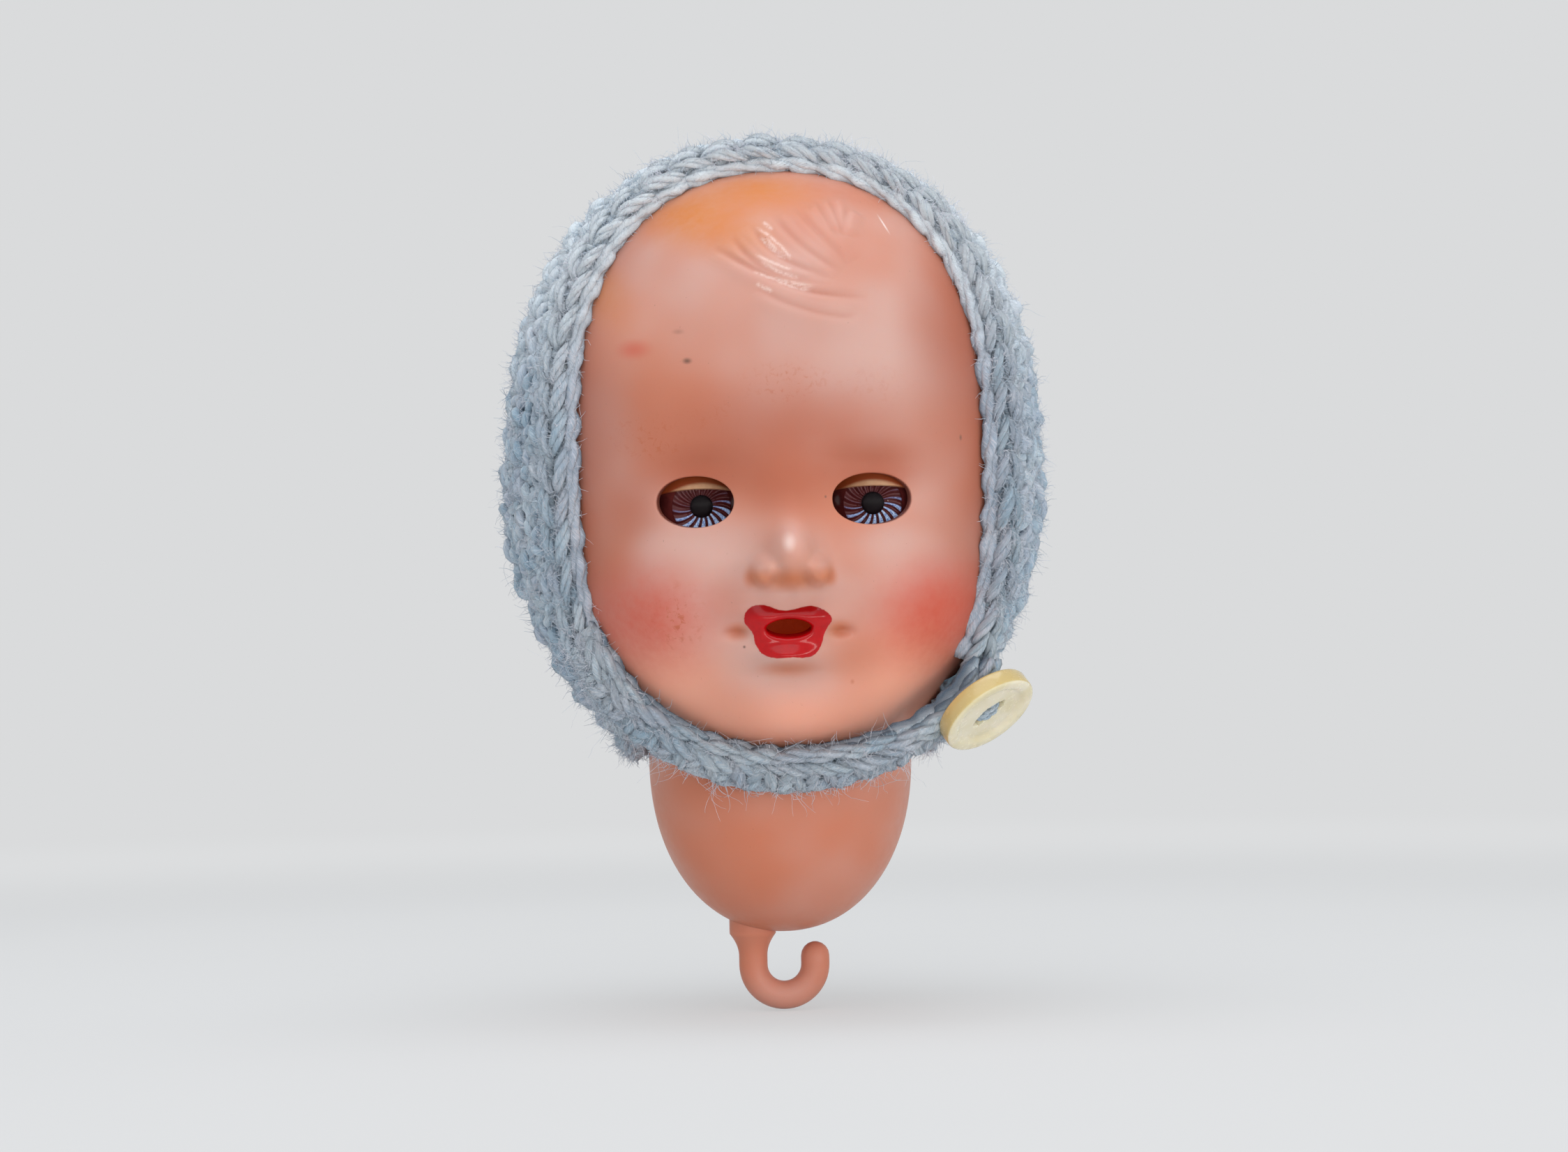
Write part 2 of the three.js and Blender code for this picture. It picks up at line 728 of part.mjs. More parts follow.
function buildArm() {
  const hub = solid(rodAlongX(arm.hubRadius, -arm.hubHalfLength, arm.hubHalfLength)
    .translate(0, axlePlace.y, axlePlace.z));
  const wireEnd = arm.reach + weight.height / 2;
  const wire = solid(rodBetween(aboutAxle(0, 0), aboutAxle(wireEnd, arm.restDegrees), arm.wireRadius));
  const tail = solid(rodBetween(aboutAxle(0, 0), aboutAxle(arm.tailReach, tailTurn), arm.wireRadius));
  return hub.add(wire).add(tail).subtract(solid(
    rodAlongX(axle.radius + seat, -far, far).translate(0, axlePlace.y, axlePlace.z),
  ));
}

function buildWeight() {
  const half = weight.height / 2;
  const wire = arm.wireRadius + weight.gap;
  const profile = [
    [wire, -half],
    [weight.radius - weight.chamfer, -half],
    [weight.radius, -half + weight.chamfer],
    [weight.radius, half - weight.chamfer],
    [weight.radius - weight.chamfer, half],
    [wire, half],
    [wire, -half],
  ].map(([radius, height]) => new THREE.Vector2(radius, height));
  const middle = aboutAxle(arm.reach, arm.restDegrees);
  return new THREE.LatheGeometry(profile, 20)
    .rotateX(Math.PI / 2 + radians(arm.restDegrees))
    .translate(middle.x, middle.y, middle.z);
}

function buildBracket(sign) {
  const [near, away] = [bracketInner, bracketInner + bracket.thickness];
  const [from, to] = sign > 0 ? [near, away] : [-away, -near];
  const round = solid(rodAlongX(bracket.radius, from, to, 20).translate(0, axlePlace.y, axlePlace.z));
  const web = solid(box(
    point(from, -far, axlePlace.z - bracket.radius),
    point(to, axlePlace.y, axlePlace.z + bracket.radius),
  ));
  return round.add(web).intersect(cavitySeat).subtract(solid(
    rodAlongX(axle.radius + axle.gap, -far, far).translate(0, axlePlace.y, axlePlace.z),
  ));
}

// A cork bumper is cut to the inside of the face, and its rear slants like the wire that lands on it.
function buildBumper(reach, degrees) {
  const contact = aboutAxle(reach, degrees);
  const along = aboutAxle(1, degrees).sub(aboutAxle(0, degrees));
  const square = point(0, -along.z, along.y);
  if (square.y > 0) square.negate();
  const face = contact.clone().addScaledVector(square, arm.wireRadius + bumper.gap);
  const corner = (end) => {
    const height = face.z + (end * bumper.height) / 2;
    return new THREE.Vector2(face.y + ((height - face.z) * along.y) / along.z, height);
  };
  const [low, high] = [corner(-1), corner(1)];
  const shape = new THREE.Shape([
    new THREE.Vector2(-head.faceDepth - overrun, low.y),
    low,
    high,
    new THREE.Vector2(-head.faceDepth - overrun, high.y),
  ]);
  const depth = bumper.halfWidth * 2;
  const block = new THREE.ExtrudeGeometry(shape, { depth, bevelEnabled: false })
    .rotateY(Math.PI / 2)
    .rotateX(Math.PI / 2)
    .translate(-bumper.halfWidth, 0, 0);
  return solid(block).intersect(cavitySeat);
}

// The bonnet. Its rows turn round a point in the head, from the middle of the back to the face's edge.

const bonnetCentre = point(0, 0, bonnet.centreHeight);

function direction(fromBack, fromTop) {
  return point(
    Math.sin(fromBack) * Math.sin(fromTop),
    Math.cos(fromBack),
    Math.sin(fromBack) * Math.cos(fromTop),
  );
}

function isInHead(p, offset) {
  const z = p.z;
  if (z >= head.top + offset || z <= neck.bottom) return false;
  const [side, front, back] = sectionAt(Math.min(z, head.top - 1e-3));
  const power = head.sectionPower;
  const depth = p.y < 0 ? front : back;
  return (Math.abs(p.x) / side) ** power + (Math.abs(p.y) / depth) ** power < 1;
}

function baseReach(toward) {
  let low = 0;
  let high = head.skullDepth * 2;
  for (let i = 0; i < 40; i++) {
    const middle = (low + high) / 2;
    if (isInHead(bonnetCentre.clone().addScaledVector(toward, middle), 0)) low = middle;
    else high = middle;
  }
  return low;
}

function onHead(fromBack, fromTop) {
  const toward = direction(fromBack, fromTop);
  return bonnetCentre.clone().addScaledVector(toward, baseReach(toward));
}

function bonnetPoint(fromBack, fromTop, offset) {
  const step = 0.02;
  const at = onHead(fromBack, fromTop);
  const safe = Math.max(fromBack, step * 2);
  const down = onHead(safe + step, fromTop).sub(onHead(safe - step, fromTop));
  const round = onHead(safe, fromTop + step).sub(onHead(safe, fromTop - step));
  const normal = fromBack < step ? point(0, 1, 0) : round.cross(down).normalize();
  if (normal.dot(direction(fromBack, fromTop)) < 0) normal.negate();
  const along = bell(at.y - ear.back, ear.alongReach * ear.woolShare);
  const bulge = ear.rise * along * bell(at.z - ear.height, ear.upReach * ear.woolShare);
  const swell = Math.abs(at.x) > head.halfWidth / 2 ? bulge : 0;
  return at.addScaledVector(normal, offset + swell);
}

function frontEdge(fromTop) {
  return radians(bonnet.frontDegrees
    - bonnet.frontWaveDegrees * Math.cos(2 * fromTop)
    - bonnet.frontLeanDegrees * Math.cos(fromTop));
}

const edgingTurn = (edging.radius + edging.stitchRise + edging.gap) / head.halfWidth;

function bonnetSolid(offset, ribbed) {
  const around = ribbed ? steps.bonnetAround : steps.liningAround;
  const perRow = ribbed ? 3 : 1;
  const count = bonnet.rows * perRow;
  const rings = [[bonnetPoint(0, 0, offset)]];
  for (let i = 1; i <= count; i++) {
    const ring = [];
    for (let j = 0; j < around; j++) {
      const fromTop = -(2 * Math.PI * j) / around;
      const reach = (frontEdge(fromTop) - edgingTurn) * (i / count);
      const rib = ribbed && i % perRow !== 0 && i < count ? bonnet.rowRise : 0;
      ring.push(bonnetPoint(reach, fromTop, offset + rib));
    }
    rings.push(ring);
  }
  // The outer body ends in a wall across the face, and the inner one runs on through it.
  const last = rings.at(-1);
  const reachOn = ribbed ? 0 : head.faceDepth;
  if (reachOn) rings.push(last.map((p) => p.clone().setY(p.y - reachOn)));
  const depth = last.reduce((sum, p) => sum + p.y, 0) / last.length - reachOn;
  rings.push([point(0, depth, bonnet.centreHeight)]);
  return solid(ringBody(rings));
}

// What lies below the hem, in the side view.
function belowHem() {
  const shape = new THREE.Shape();
  shape.moveTo(-far, bonnet.hemFront);
  shape.lineTo(-bonnet.hemCornerDepth, bonnet.hemFront);
  shape.quadraticCurveTo(-bonnet.hemEarDepth * 2, bonnet.hemEar, -bonnet.hemEarDepth / 2, bonnet.hemEar);
  shape.lineTo(far, bonnet.hemEar + ((bonnet.hemNape - bonnet.hemEar) * far) / head.skullDepth);
  shape.lineTo(far, -far);
  shape.lineTo(-far, -far);
  const block = new THREE.ExtrudeGeometry(shape, { depth: far * 2, bevelEnabled: false, curveSegments: 6 })
    .rotateY(Math.PI / 2)
    .rotateX(Math.PI / 2)
    .translate(-far, 0, 0);
  return solid(block);
}

function buildBonnet() {
  const shell = bonnetSolid(bonnet.inside + bonnet.thickness - bonnet.rowRise, true)
    .subtract(bonnetSolid(bonnet.inside, false));
  return shell.subtract(belowHem());
}

// A crocheted braid: an oval tube whose stitches swell it in turn.
function braid(line, normals, width, thickness, stitches, rise) {
  const sidesRound = 6;
  const rings = line.map((centre, i) => {
    const before = line[Math.max(i - 1, 0)];
    const after = line[Math.min(i + 1, line.length - 1)];
    const along = after.clone().sub(before).normalize();
    const out = normals[i].clone().addScaledVector(along, -normals[i].dot(along)).normalize();
    const across = out.clone().cross(along);
    const swell = rise * Math.cos((2 * Math.PI * stitches * i) / (line.length - 1));
    const ring = [];
    for (let j = 0; j < sidesRound; j++) {
      const turn = (2 * Math.PI * (j + 0.5)) / sidesRound;
      ring.push(centre.clone()
        .addScaledVector(across, (width / 2 + swell) * Math.cos(turn))
        .addScaledVector(out, (thickness / 2 + swell / 2) * Math.sin(turn)));
    }
    return ring;
  });
  return ringBody(rings);
}

function buildEdging() {
  const end = radians(edging.endDegrees);
  const count = edging.stitches * 2;
  const [line, normals] = [[], []];
  for (let i = 0; i <= count; i++) {
    const fromTop = -end + (2 * end * i) / count;
    const reach = frontEdge(fromTop);
    const middle = bonnetPoint(reach, fromTop, bonnet.inside + edging.radius);
    line.push(middle);
    normals.push(middle.clone().sub(bonnetPoint(reach, fromTop, 0)));
  }
  return braid(line, normals, edging.radius * 2, edging.radius * 2, edging.stitches, edging.stitchRise);
}

// The strap follows the jaw: flat against the throat in the middle, and turned outward at the button.

const strapSide = strap.sideShare * head.halfWidth;
const strapRise = strap.riseShare * (head.widest - head.chin);
const strapCentre = head.chin - strap.chinDrop + strapRise;

function sideShare(turn) {
  const share = Math.min(Math.abs(turn) / radians(strap.endDegrees), 1);
  return share * share * (3 - 2 * share);
}

function strapNormal(turn) {
  const sideLean = turn > 0 ? strap.buttonLeanDegrees : strap.cornerLeanDegrees;
  const lean = radians(strap.throatLeanDegrees + (sideLean - strap.throatLeanDegrees) * sideShare(turn));
  const around = turn * strap.normalShare;
  return point(Math.sin(around) * Math.sin(lean), -Math.cos(lean), -Math.cos(around) * Math.sin(lean));
}

function strapPlace(turn) {
  const share = sideShare(turn);
  const middleDepth = neck.radius + strap.neckGap + strap.thickness / 2;
  const depth = middleDepth + (strap.cornerDepthShare * head.faceDepth - middleDepth) * share;
  const reach = turn > 0 ? strap.buttonReach * share : 0;
  const x = (strapSide + reach) * Math.sin(turn);
  return point(x, -depth, strapCentre - (strapRise + reach) * Math.cos(turn));
}

const buttonTurn = radians(strap.endDegrees);
const buttonNormal = strapNormal(buttonTurn);
const buttonSeat = strapPlace(buttonTurn);

function buildStrap() {
  const tab = strap.endTab / strapSide;
  const [from, to] = [-radians(strap.startDegrees), buttonTurn + tab];
  const count = strap.stitches * 3;
  const [line, normals] = [[], []];
  for (let i = 0; i <= count; i++) {
    const turn = from + ((to - from) * i) / count;
    line.push(strapPlace(turn));
    normals.push(strapNormal(turn));
  }
  const band = solid(braid(line, normals, strap.width, strap.thickness, strap.stitches, strap.stitchRise));
  const half = strap.thickness + overrun;
  return band.subtract(solid(rodBetween(
    buttonSeat.clone().addScaledVector(buttonNormal, -half),
    buttonSeat.clone().addScaledVector(buttonNormal, half),
    strap.holeRadius,
  )));
}

// The button, with its dished face, the sunk eye for the thread, and two holes.

const buttonFrame = new THREE.Matrix4();
{
  const ahead = strapPlace(buttonTurn + 0.05).sub(buttonSeat);
  const across = ahead.addScaledVector(buttonNormal, -ahead.dot(buttonNormal)).normalize();
  const other = buttonNormal.clone().cross(across);
  const lift = strap.thickness / 2 + strap.stitchRise + button.standOff;
  const place = buttonSeat.clone().addScaledVector(buttonNormal, lift);
  buttonFrame.makeBasis(across, other, buttonNormal).setPosition(place);
}

function buildButton() {
  const { radius, thickness, edge, rimWidth, dish } = button;
  const body = solid(new THREE.LatheGeometry([
    [0, 0],
    [radius - edge * 2, 0],
    [radius, edge],
    [radius, thickness - edge],
    [radius - edge, thickness],
    [radius - rimWidth, thickness],
    [radius - rimWidth * 2, thickness - dish],
    [0, thickness - dish],
  ].map(([r, z]) => new THREE.Vector2(r, z)), 28).rotateX(Math.PI / 2));
  const sunk = new THREE.Shape();
  sunk.absellipse(0, 0, button.eyeLength / 2, button.eyeWidth / 2, 0, 2 * Math.PI);
  const sinker = new THREE.ExtrudeGeometry(sunk, {
    depth: overrun,
    bevelEnabled: false,
    curveSegments: 10,
  });
  const eyeCut = solid(sinker.translate(0, 0, thickness - dish - button.eyeDepth));
  let made = body.subtract(eyeCut);
  for (const side of [-1, 1]) {
    const drill = new THREE.CylinderGeometry(button.holeRadius, button.holeRadius, thickness * 3, 14)
      .rotateX(Math.PI / 2)
      .translate((side * button.holeSpacing) / 2, 0, 0);
    made = made.subtract(solid(drill));
  }
  return geometryOf(made).applyMatrix4(buttonFrame);
}

// The yarn comes up one hole, crosses the sunk eye and goes down the other, into a wound shank.
function buildThread() {
  const half = button.holeSpacing / 2;
  const top = button.thickness - button.dish - button.eyeDepth + thread.radius + thread.gap;
  const bottom = -thread.gap * 2;
  const rod = (from, to, radius) => solid(rodBetween(from, to, radius, 10));
  const reach = half + thread.radius / 2;
  const bridge = rod(point(-reach, 0, top), point(reach, 0, top), thread.radius);
  const foot = bottom - thread.radius;
  const legs = [-half, half].map((x) => rod(point(x, 0, foot), point(x, 0, top), thread.radius));
  const yoke = rod(point(-reach, 0, foot), point(reach, 0, foot), thread.radius);
  const shankEnd = -(strap.thickness + strap.stitchRise * 2 + button.standOff + thread.shankPast);
  const shank = rod(point(0, 0, bottom), point(0, 0, shankEnd), thread.shankRadius);
  return geometryOf(bridge.add(legs[0]).add(legs[1]).add(yoke).add(shank)).applyMatrix4(buttonFrame);
}

// Assembly

add('face_shell', geometryOf(buildFace()), materials.skin);
add('back_shell', geometryOf(buildBack()), materials.skin);
add('neck_hook', geometryOf(buildHook()), materials.skin);

for (const { name, x, sign } of sides) {
  add(`${name}_eyeball`, geometryOf(buildEyeball(x)), materials.eyeball);
  add(`${name}_iris`, buildIris(x), materials.iris);
  add(`${name}_pupil`, buildPupil(x), materials.pupil);
  add(`${name}_lens`, buildLens(x), materials.lens);
  add(`${name}_eyelid`, geometryOf(buildLid(x)), materials.lid);
  add(`${name}_axle_bracket`, geometryOf(buildBracket(sign)), materials.bracket);
}

add('eye_axle', rodAlongX(axle.radius, -axleHalf, axleHalf)
  .translate(0, axlePlace.y, axlePlace.z), materials.steel);
add('counterweight_arm', geometryOf(buildArm()), materials.steel);
add('counterweight', buildWeight(), materials.lead);
add('open_bumper', geometryOf(buildBumper(bumper.restDrop, arm.restDegrees)), materials.cork);
add('sleep_bumper', geometryOf(buildBumper(bumper.sleepRise, tailTurn + sleepDegrees)), materials.cork);

add('bonnet_body', geometryOf(buildBonnet()), materials.wool);
add('bonnet_edging', buildEdging(), materials.wool);
add('chin_strap', geometryOf(buildStrap()), materials.wool);
add('button', buildButton(), materials.button);
add('button_thread', buildThread(), materials.wool);

export default root;
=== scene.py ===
import math

import bpy
import numpy as np
from mathutils import Matrix, Vector


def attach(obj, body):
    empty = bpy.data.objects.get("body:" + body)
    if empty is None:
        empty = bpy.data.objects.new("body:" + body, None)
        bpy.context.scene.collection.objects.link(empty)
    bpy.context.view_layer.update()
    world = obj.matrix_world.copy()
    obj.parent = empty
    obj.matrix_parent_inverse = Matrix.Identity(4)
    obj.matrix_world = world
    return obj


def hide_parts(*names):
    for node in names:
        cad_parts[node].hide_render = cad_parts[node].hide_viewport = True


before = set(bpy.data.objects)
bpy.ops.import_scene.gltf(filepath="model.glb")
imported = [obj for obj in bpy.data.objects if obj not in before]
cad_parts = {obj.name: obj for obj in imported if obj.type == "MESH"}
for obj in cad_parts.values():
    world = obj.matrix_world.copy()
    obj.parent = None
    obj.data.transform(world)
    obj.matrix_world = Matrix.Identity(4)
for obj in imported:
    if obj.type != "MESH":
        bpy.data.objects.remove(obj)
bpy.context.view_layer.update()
print("frame loaded:", len(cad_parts), "nodes")

mm = 0.001
tree = shader = where = None  # the nodes being made, their shader, and object coordinates in mm


# colours are written as they look on a screen, and shaders want them linear
def linear(hexCode):
    parts = [int(hexCode[i : i + 2], 16) / 255 for i in (1, 3, 5)]
    return (*(c / 12.92 if c <= 0.04045 else ((c + 0.055) / 1.055) ** 2.4 for c in parts), 1.0)


# each kind of node: its type, settings, output, and sockets with what they hold at first
nodeKinds = {
    "coordinates": ("TexCoord", {}, "Object", {}),
    "scaled": ("VectorMath", {"operation": "SCALE"}, 0, {0: None, "Scale": 1}),
    "away": ("VectorMath", {"operation": "SUBTRACT"}, 0, {0: None, 1: None}),
    "stretched": ("VectorMath", {"operation": "MULTIPLY"}, 0, {0: None, 1: None}),
    "length": ("VectorMath", {"operation": "LENGTH"}, "Value", {0: None}),
    "turned": ("VectorRotate", {"rotation_type": "Y_AXIS"}, 0, {"Vector": None, "Angle": 0}),
    "split": ("SeparateXYZ", {}, None, {0: None}),
    "joined": ("CombineXYZ", {}, 0, {0: 0, 1: 0, 2: 0}),
    "noise": (
        "TexNoise", {}, "Fac",
        {"Vector": None, "Scale": 1, "Detail": 3, "Roughness": 0.55, "Distortion": 0},
    ),
    "ramp": (
        "MapRange", {"interpolation_type": "SMOOTHSTEP"}, 0,
        {"Value": 0, "From Min": 0, "From Max": 1, "To Min": 0, "To Max": 1},
    ),
    "mix": ("Mix", {"data_type": "RGBA"}, 2, {0: 0, 6: None, 7: None}),
    "times": ("Math", {"operation": "MULTIPLY"}, 0, {0: 0, 1: 0}),
    "plus": ("Math", {"operation": "ADD"}, 0, {0: 0, 1: 0}),
    "most": ("Math", {"operation": "MAXIMUM"}, 0, {0: 0, 1: 0}),
    "unsigned": ("Math", {"operation": "ABSOLUTE"}, 0, {0: 0}),
    "held": ("Attribute", {}, "Fac", {}),
    "bump": ("Bump", {}, 0, {"Height": None, "Strength": 1, "Distance": mm}),
    "rays": ("LightPath", {}, None, {}),
}


# links or sets a node's sockets; a hex colour is made linear
def fill(node, values):
    for key, value in values.items():
        if isinstance(value, bpy.types.NodeSocket):
            tree.links.new(value, node.inputs[key])
        elif value is not None:
            node.inputs[key].default_value = linear(value) if isinstance(value, str) else value


# adds a node with its settings and links, and gives its output, or all of them
def add(kind, *values, **settings):
    typeName, fixed, output, sockets = nodeKinds[kind]
    made = tree.nodes.new("ShaderNode" + typeName)
    for key, value in {**fixed, **settings}.items():
        setattr(made, key, value)
    fill(made, {**sockets, **dict(zip(sockets, values))})
    return made.outputs if output is None else made.outputs[output]


# starts a material; the nodes that are added next belong to it
def newMaterial(name):
    global tree, shader, where
    made = bpy.data.materials.new(name)
    made.use_nodes = True
    tree = made.node_tree
    tree.nodes.clear()
    shader = tree.nodes.new("ShaderNodeBsdfPrincipled")
    fill(tree.nodes.new("ShaderNodeOutputMaterial"), {"Surface": shader.outputs[0]})
    where = add("scaled", add("coordinates"), 1 / mm)
    return made


# a share that the mesh holds for each of its places
def held(name):
    return add("held", attribute_name=name)


# two tones in soft patches of a size in mm
def patches(size, detail, dark, light, low=0.3, high=0.7, roughness=0.55):
    return add("mix", add("ramp", add("noise", where, 1 / size, detail, roughness), low, high), dark, light)


# a grain that is felt: its size, detail, strength and depth in mm
def grain(size, detail, strength, depth):
    return add("bump", add("noise", where, 1 / size, detail), strength, depth * mm)


def asArray(values):
    return np.asarray(values, dtype=float)


def bell(value, reach):
    return np.exp(-((value / reach) ** 2))


def unit(vectors):
    return vectors / np.maximum(np.linalg.norm(vectors, axis=-1, keepdims=True), 1e-12)


# how far along a line each of its places is
def runLength(line):
    return np.concatenate([[0], np.cumsum(np.linalg.norm(np.diff(line, axis=0), axis=1))])


def makePiece(name, points, faces, material, body, node=None, sharp=None, shares=None):
    mesh = bpy.data.meshes.new(name)
    places = (asArray(points).reshape(-1, 3) * mm).tolist()
    mesh.from_pydata(places, [], [tuple(map(int, face)) for face in faces])
    mesh.shade_smooth()
    if sharp:
        mesh.set_sharp_from_angle(angle=math.radians(sharp))
    for key, values in (shares or {}).items():
        layer = mesh.attributes.new(key, "FLOAT", "POINT")
        layer.data.foreach_set("value", asArray(values).astype(np.float32).ravel())
    mesh.materials.append(material)
    made = bpy.data.objects.new(name, mesh)
    bpy.context.scene.collection.objects.link(made)
    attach(made, body)
    if node:
        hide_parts(node)
    print("made", name, len(mesh.polygons), "faces")
    return made


# quads between rows of points; a row may close on itself
def gridFaces(rows, columns, closed=True, start=0):
    i, j = np.meshgrid(np.arange(rows - 1), np.arange(columns if closed else columns - 1), indexing="ij")
    k = (j + 1) % columns
    low, high = i * columns, (i + 1) * columns
    return np.stack([low + j, low + k, high + k, high + j], axis=-1).reshape(-1, 4) + start


# the edges that only one face has, in that face's direction
def borderEdges(faces):
    owners = {}
    for face in faces:
        for a, b in zip(face, [*face[1:], face[0]]):
            owners.setdefault((min(a, b), max(a, b)), []).append((a, b))
    return [edges[0] for edges in owners.values() if len(edges) == 1]


# a sheet with two sides: its outer faces, the same turned inward on the next points, and a rim between them
def sheetFaces(outer, count, rimmed=lambda a, b: True):
    rim = [(b, a, a + count, b + count) for a, b in borderEdges(outer) if rimmed(a, b)]
    return [*map(tuple, outer), *map(tuple, outer[:, ::-1] + count), *rim]


# the head's form: the same sizes as the solids, read level by level
headForm = {
    "halfWidth": 27.8,
    "faceDepth": 27.2,
    "skullDepth": 32.0,
    "top": 94.2,
    "widest": 61.0,
    "chin": 26.2,
    "wall": 1.6,
    "fillet": 3.0,
    "neckRadius": 15.2,
    "neckShoulder": 26.0,
    "neckBottom": 5.8,
    "neckPower": 2.15,
    "sectionPower": 2.12,
    "upperPowers": (2.25, 2.5, 2.2),
    "lowerPowers": (2.3, 3.2, 1.8),
}


def sectionAt(z):
    h = headForm
    above = z >= h["widest"]
    rise = (z - h["widest"]) / np.where(above, h["top"] - h["widest"], h["chin"] - h["widest"])
    drop = np.maximum(h["neckShoulder"] - z, 0) / (h["neckShoulder"] - h["neckBottom"])
    neck = h["neckRadius"] * np.maximum(1 - drop ** h["neckPower"], 0) ** (1 / h["neckPower"])
    around = np.where(above, -h["neckRadius"], neck)
    found = []
    sizes = (h["halfWidth"], h["faceDepth"], h["skullDepth"])
    for size, upper, lower in zip(sizes, h["upperPowers"], h["lowerPowers"]):
        power = np.where(above, upper, lower)
        egg = size * np.where(rise < 1, np.maximum(1 - np.clip(rise, 0, 1) ** power, 0) ** (1 / power), -1)
        near = np.maximum(h["fillet"] - np.abs(egg - around), 0) / h["fillet"]
        found.append(np.maximum(np.maximum(egg, around) + near * near * h["fillet"] / 4, 0))
    return found


def makeOutline():
    swing = (1 - np.cos(np.linspace(0, math.pi, 3001))) / 2
    z = headForm["neckBottom"] + (headForm["top"] - headForm["neckBottom"]) * swing
    side, front, back = sectionAt(z)
    for sizes in (side, front, back):
        sizes[0] = sizes[-1] = 0
    grown = np.hypot(np.diff(z), np.diff(side + front + back) / 3)
    length = np.concatenate([[0], np.cumsum(grown)])
    return length / length[-1], z, side, front, back


outline = makeOutline()


def shareAt(height):
    return float(np.interp(height, outline[1], outline[0]))


def basePoints(share, angle):
    share = np.clip(share, 0, 1)
    z, side, front, back = (np.interp(share, outline[0], values) for values in outline[1:])
    s, c = np.sin(angle), np.cos(angle)
    c = np.where(np.abs(c) < 1e-9, 0, c)
    power = 2 / headForm["sectionPower"]
    across = np.sign(s) * np.abs(s) ** power
    along = np.sign(c) * np.abs(c) ** power
    return np.stack([side * across, -np.where(c > 0, front, back) * along, z], axis=-1)


def baseNormals(share, angle):
    step = 0.004
    up = basePoints(share + step, angle) - basePoints(share - step, angle)
    around = basePoints(share, angle + step) - basePoints(share, angle - step)
    made = unit(np.cross(around, up))
    made[share < step] = (0, 0, -1)
    made[share > 1 - step] = (0, 0, 1)
    return made


# every swell and hollow of the face: x, z, its reach across, up and down, its rise and power, 1 with a twin
faceForm = [
    (0, 79, 18, 12, 12, 0.9, 2, 0),  # forehead
    (0, 56.5, 4.2, 5, 6, 0.9, 2, 0),  # bridge of the nose
    (0.35, 50.0, 3.3, 4.6, 2.7, 1.5, 2, 0),  # nose
    (0.35, 49.4, 2.2, 3.1, 2.4, 2.7, 3.2, 0),  # its tip
    (3.05, 47.8, 1.3, 1.6, 1.45, 2.2, 3.2, 0),  # wings of the nose
    (-2.6, 47.8, 1.3, 1.6, 1.45, 2.2, 3.2, 0),
    (0.3, 46.9, 1.2, 0.9, 0.8, 0.5, 2, 0),  # between the nostrils
    (1.75, 46.9, 0.6, 0.7, 0.7, -0.35, 2, 1),  # nostrils
    (0, 45.3, 5.0, 0.8, 1.6, -0.4, 2, 0),  # under the nose
    (0, 45.0, 0.9, 1.2, 1.2, -0.22, 2, 0),  # philtrum
    (6.1, 46.6, 1.6, 3.0, 3.6, -0.15, 2, 1),  # fold beside the nose
    (10, 57, 6.4, 4.6, 4.2, -1.3, 2, 1),  # eye sockets
    (10, 60.1, 5.2, 1.7, 1.2, -0.3, 2, 1),  # fold of the upper lid
    (10, 51.6, 4.6, 1.1, 1.6, -0.22, 2, 1),  # fold under the eye
    (14.2, 44, 7.5, 7, 7.5, 1.9, 2, 1),  # cheeks
    (0, 41.2, 7.5, 5.4, 5, 1.7, 2, 0),  # muzzle
    (2.5, 43.1, 2.2, 0.9, 0.9, 0.75, 2, 1),  # upper lip
    (-0.2, 39.1, 3.0, 0.9, 1.2, 1.45, 2, 0),  # lower lip
    (5.6, 41.2, 1.2, 0.6, 0.6, -0.75, 2, 1),  # corners of the mouth
    (0, 36.4, 4.4, 1.1, 1.4, -0.95, 2, 0),  # under the lower lip
    (0, 32.4, 6.6, 4, 3.6, 2.0, 2, 0),  # chin
]
earForm = {"z": 53, "back": 4, "along": 3.4, "up": 5.6, "rise": 1.1, "woolShare": 1.4}

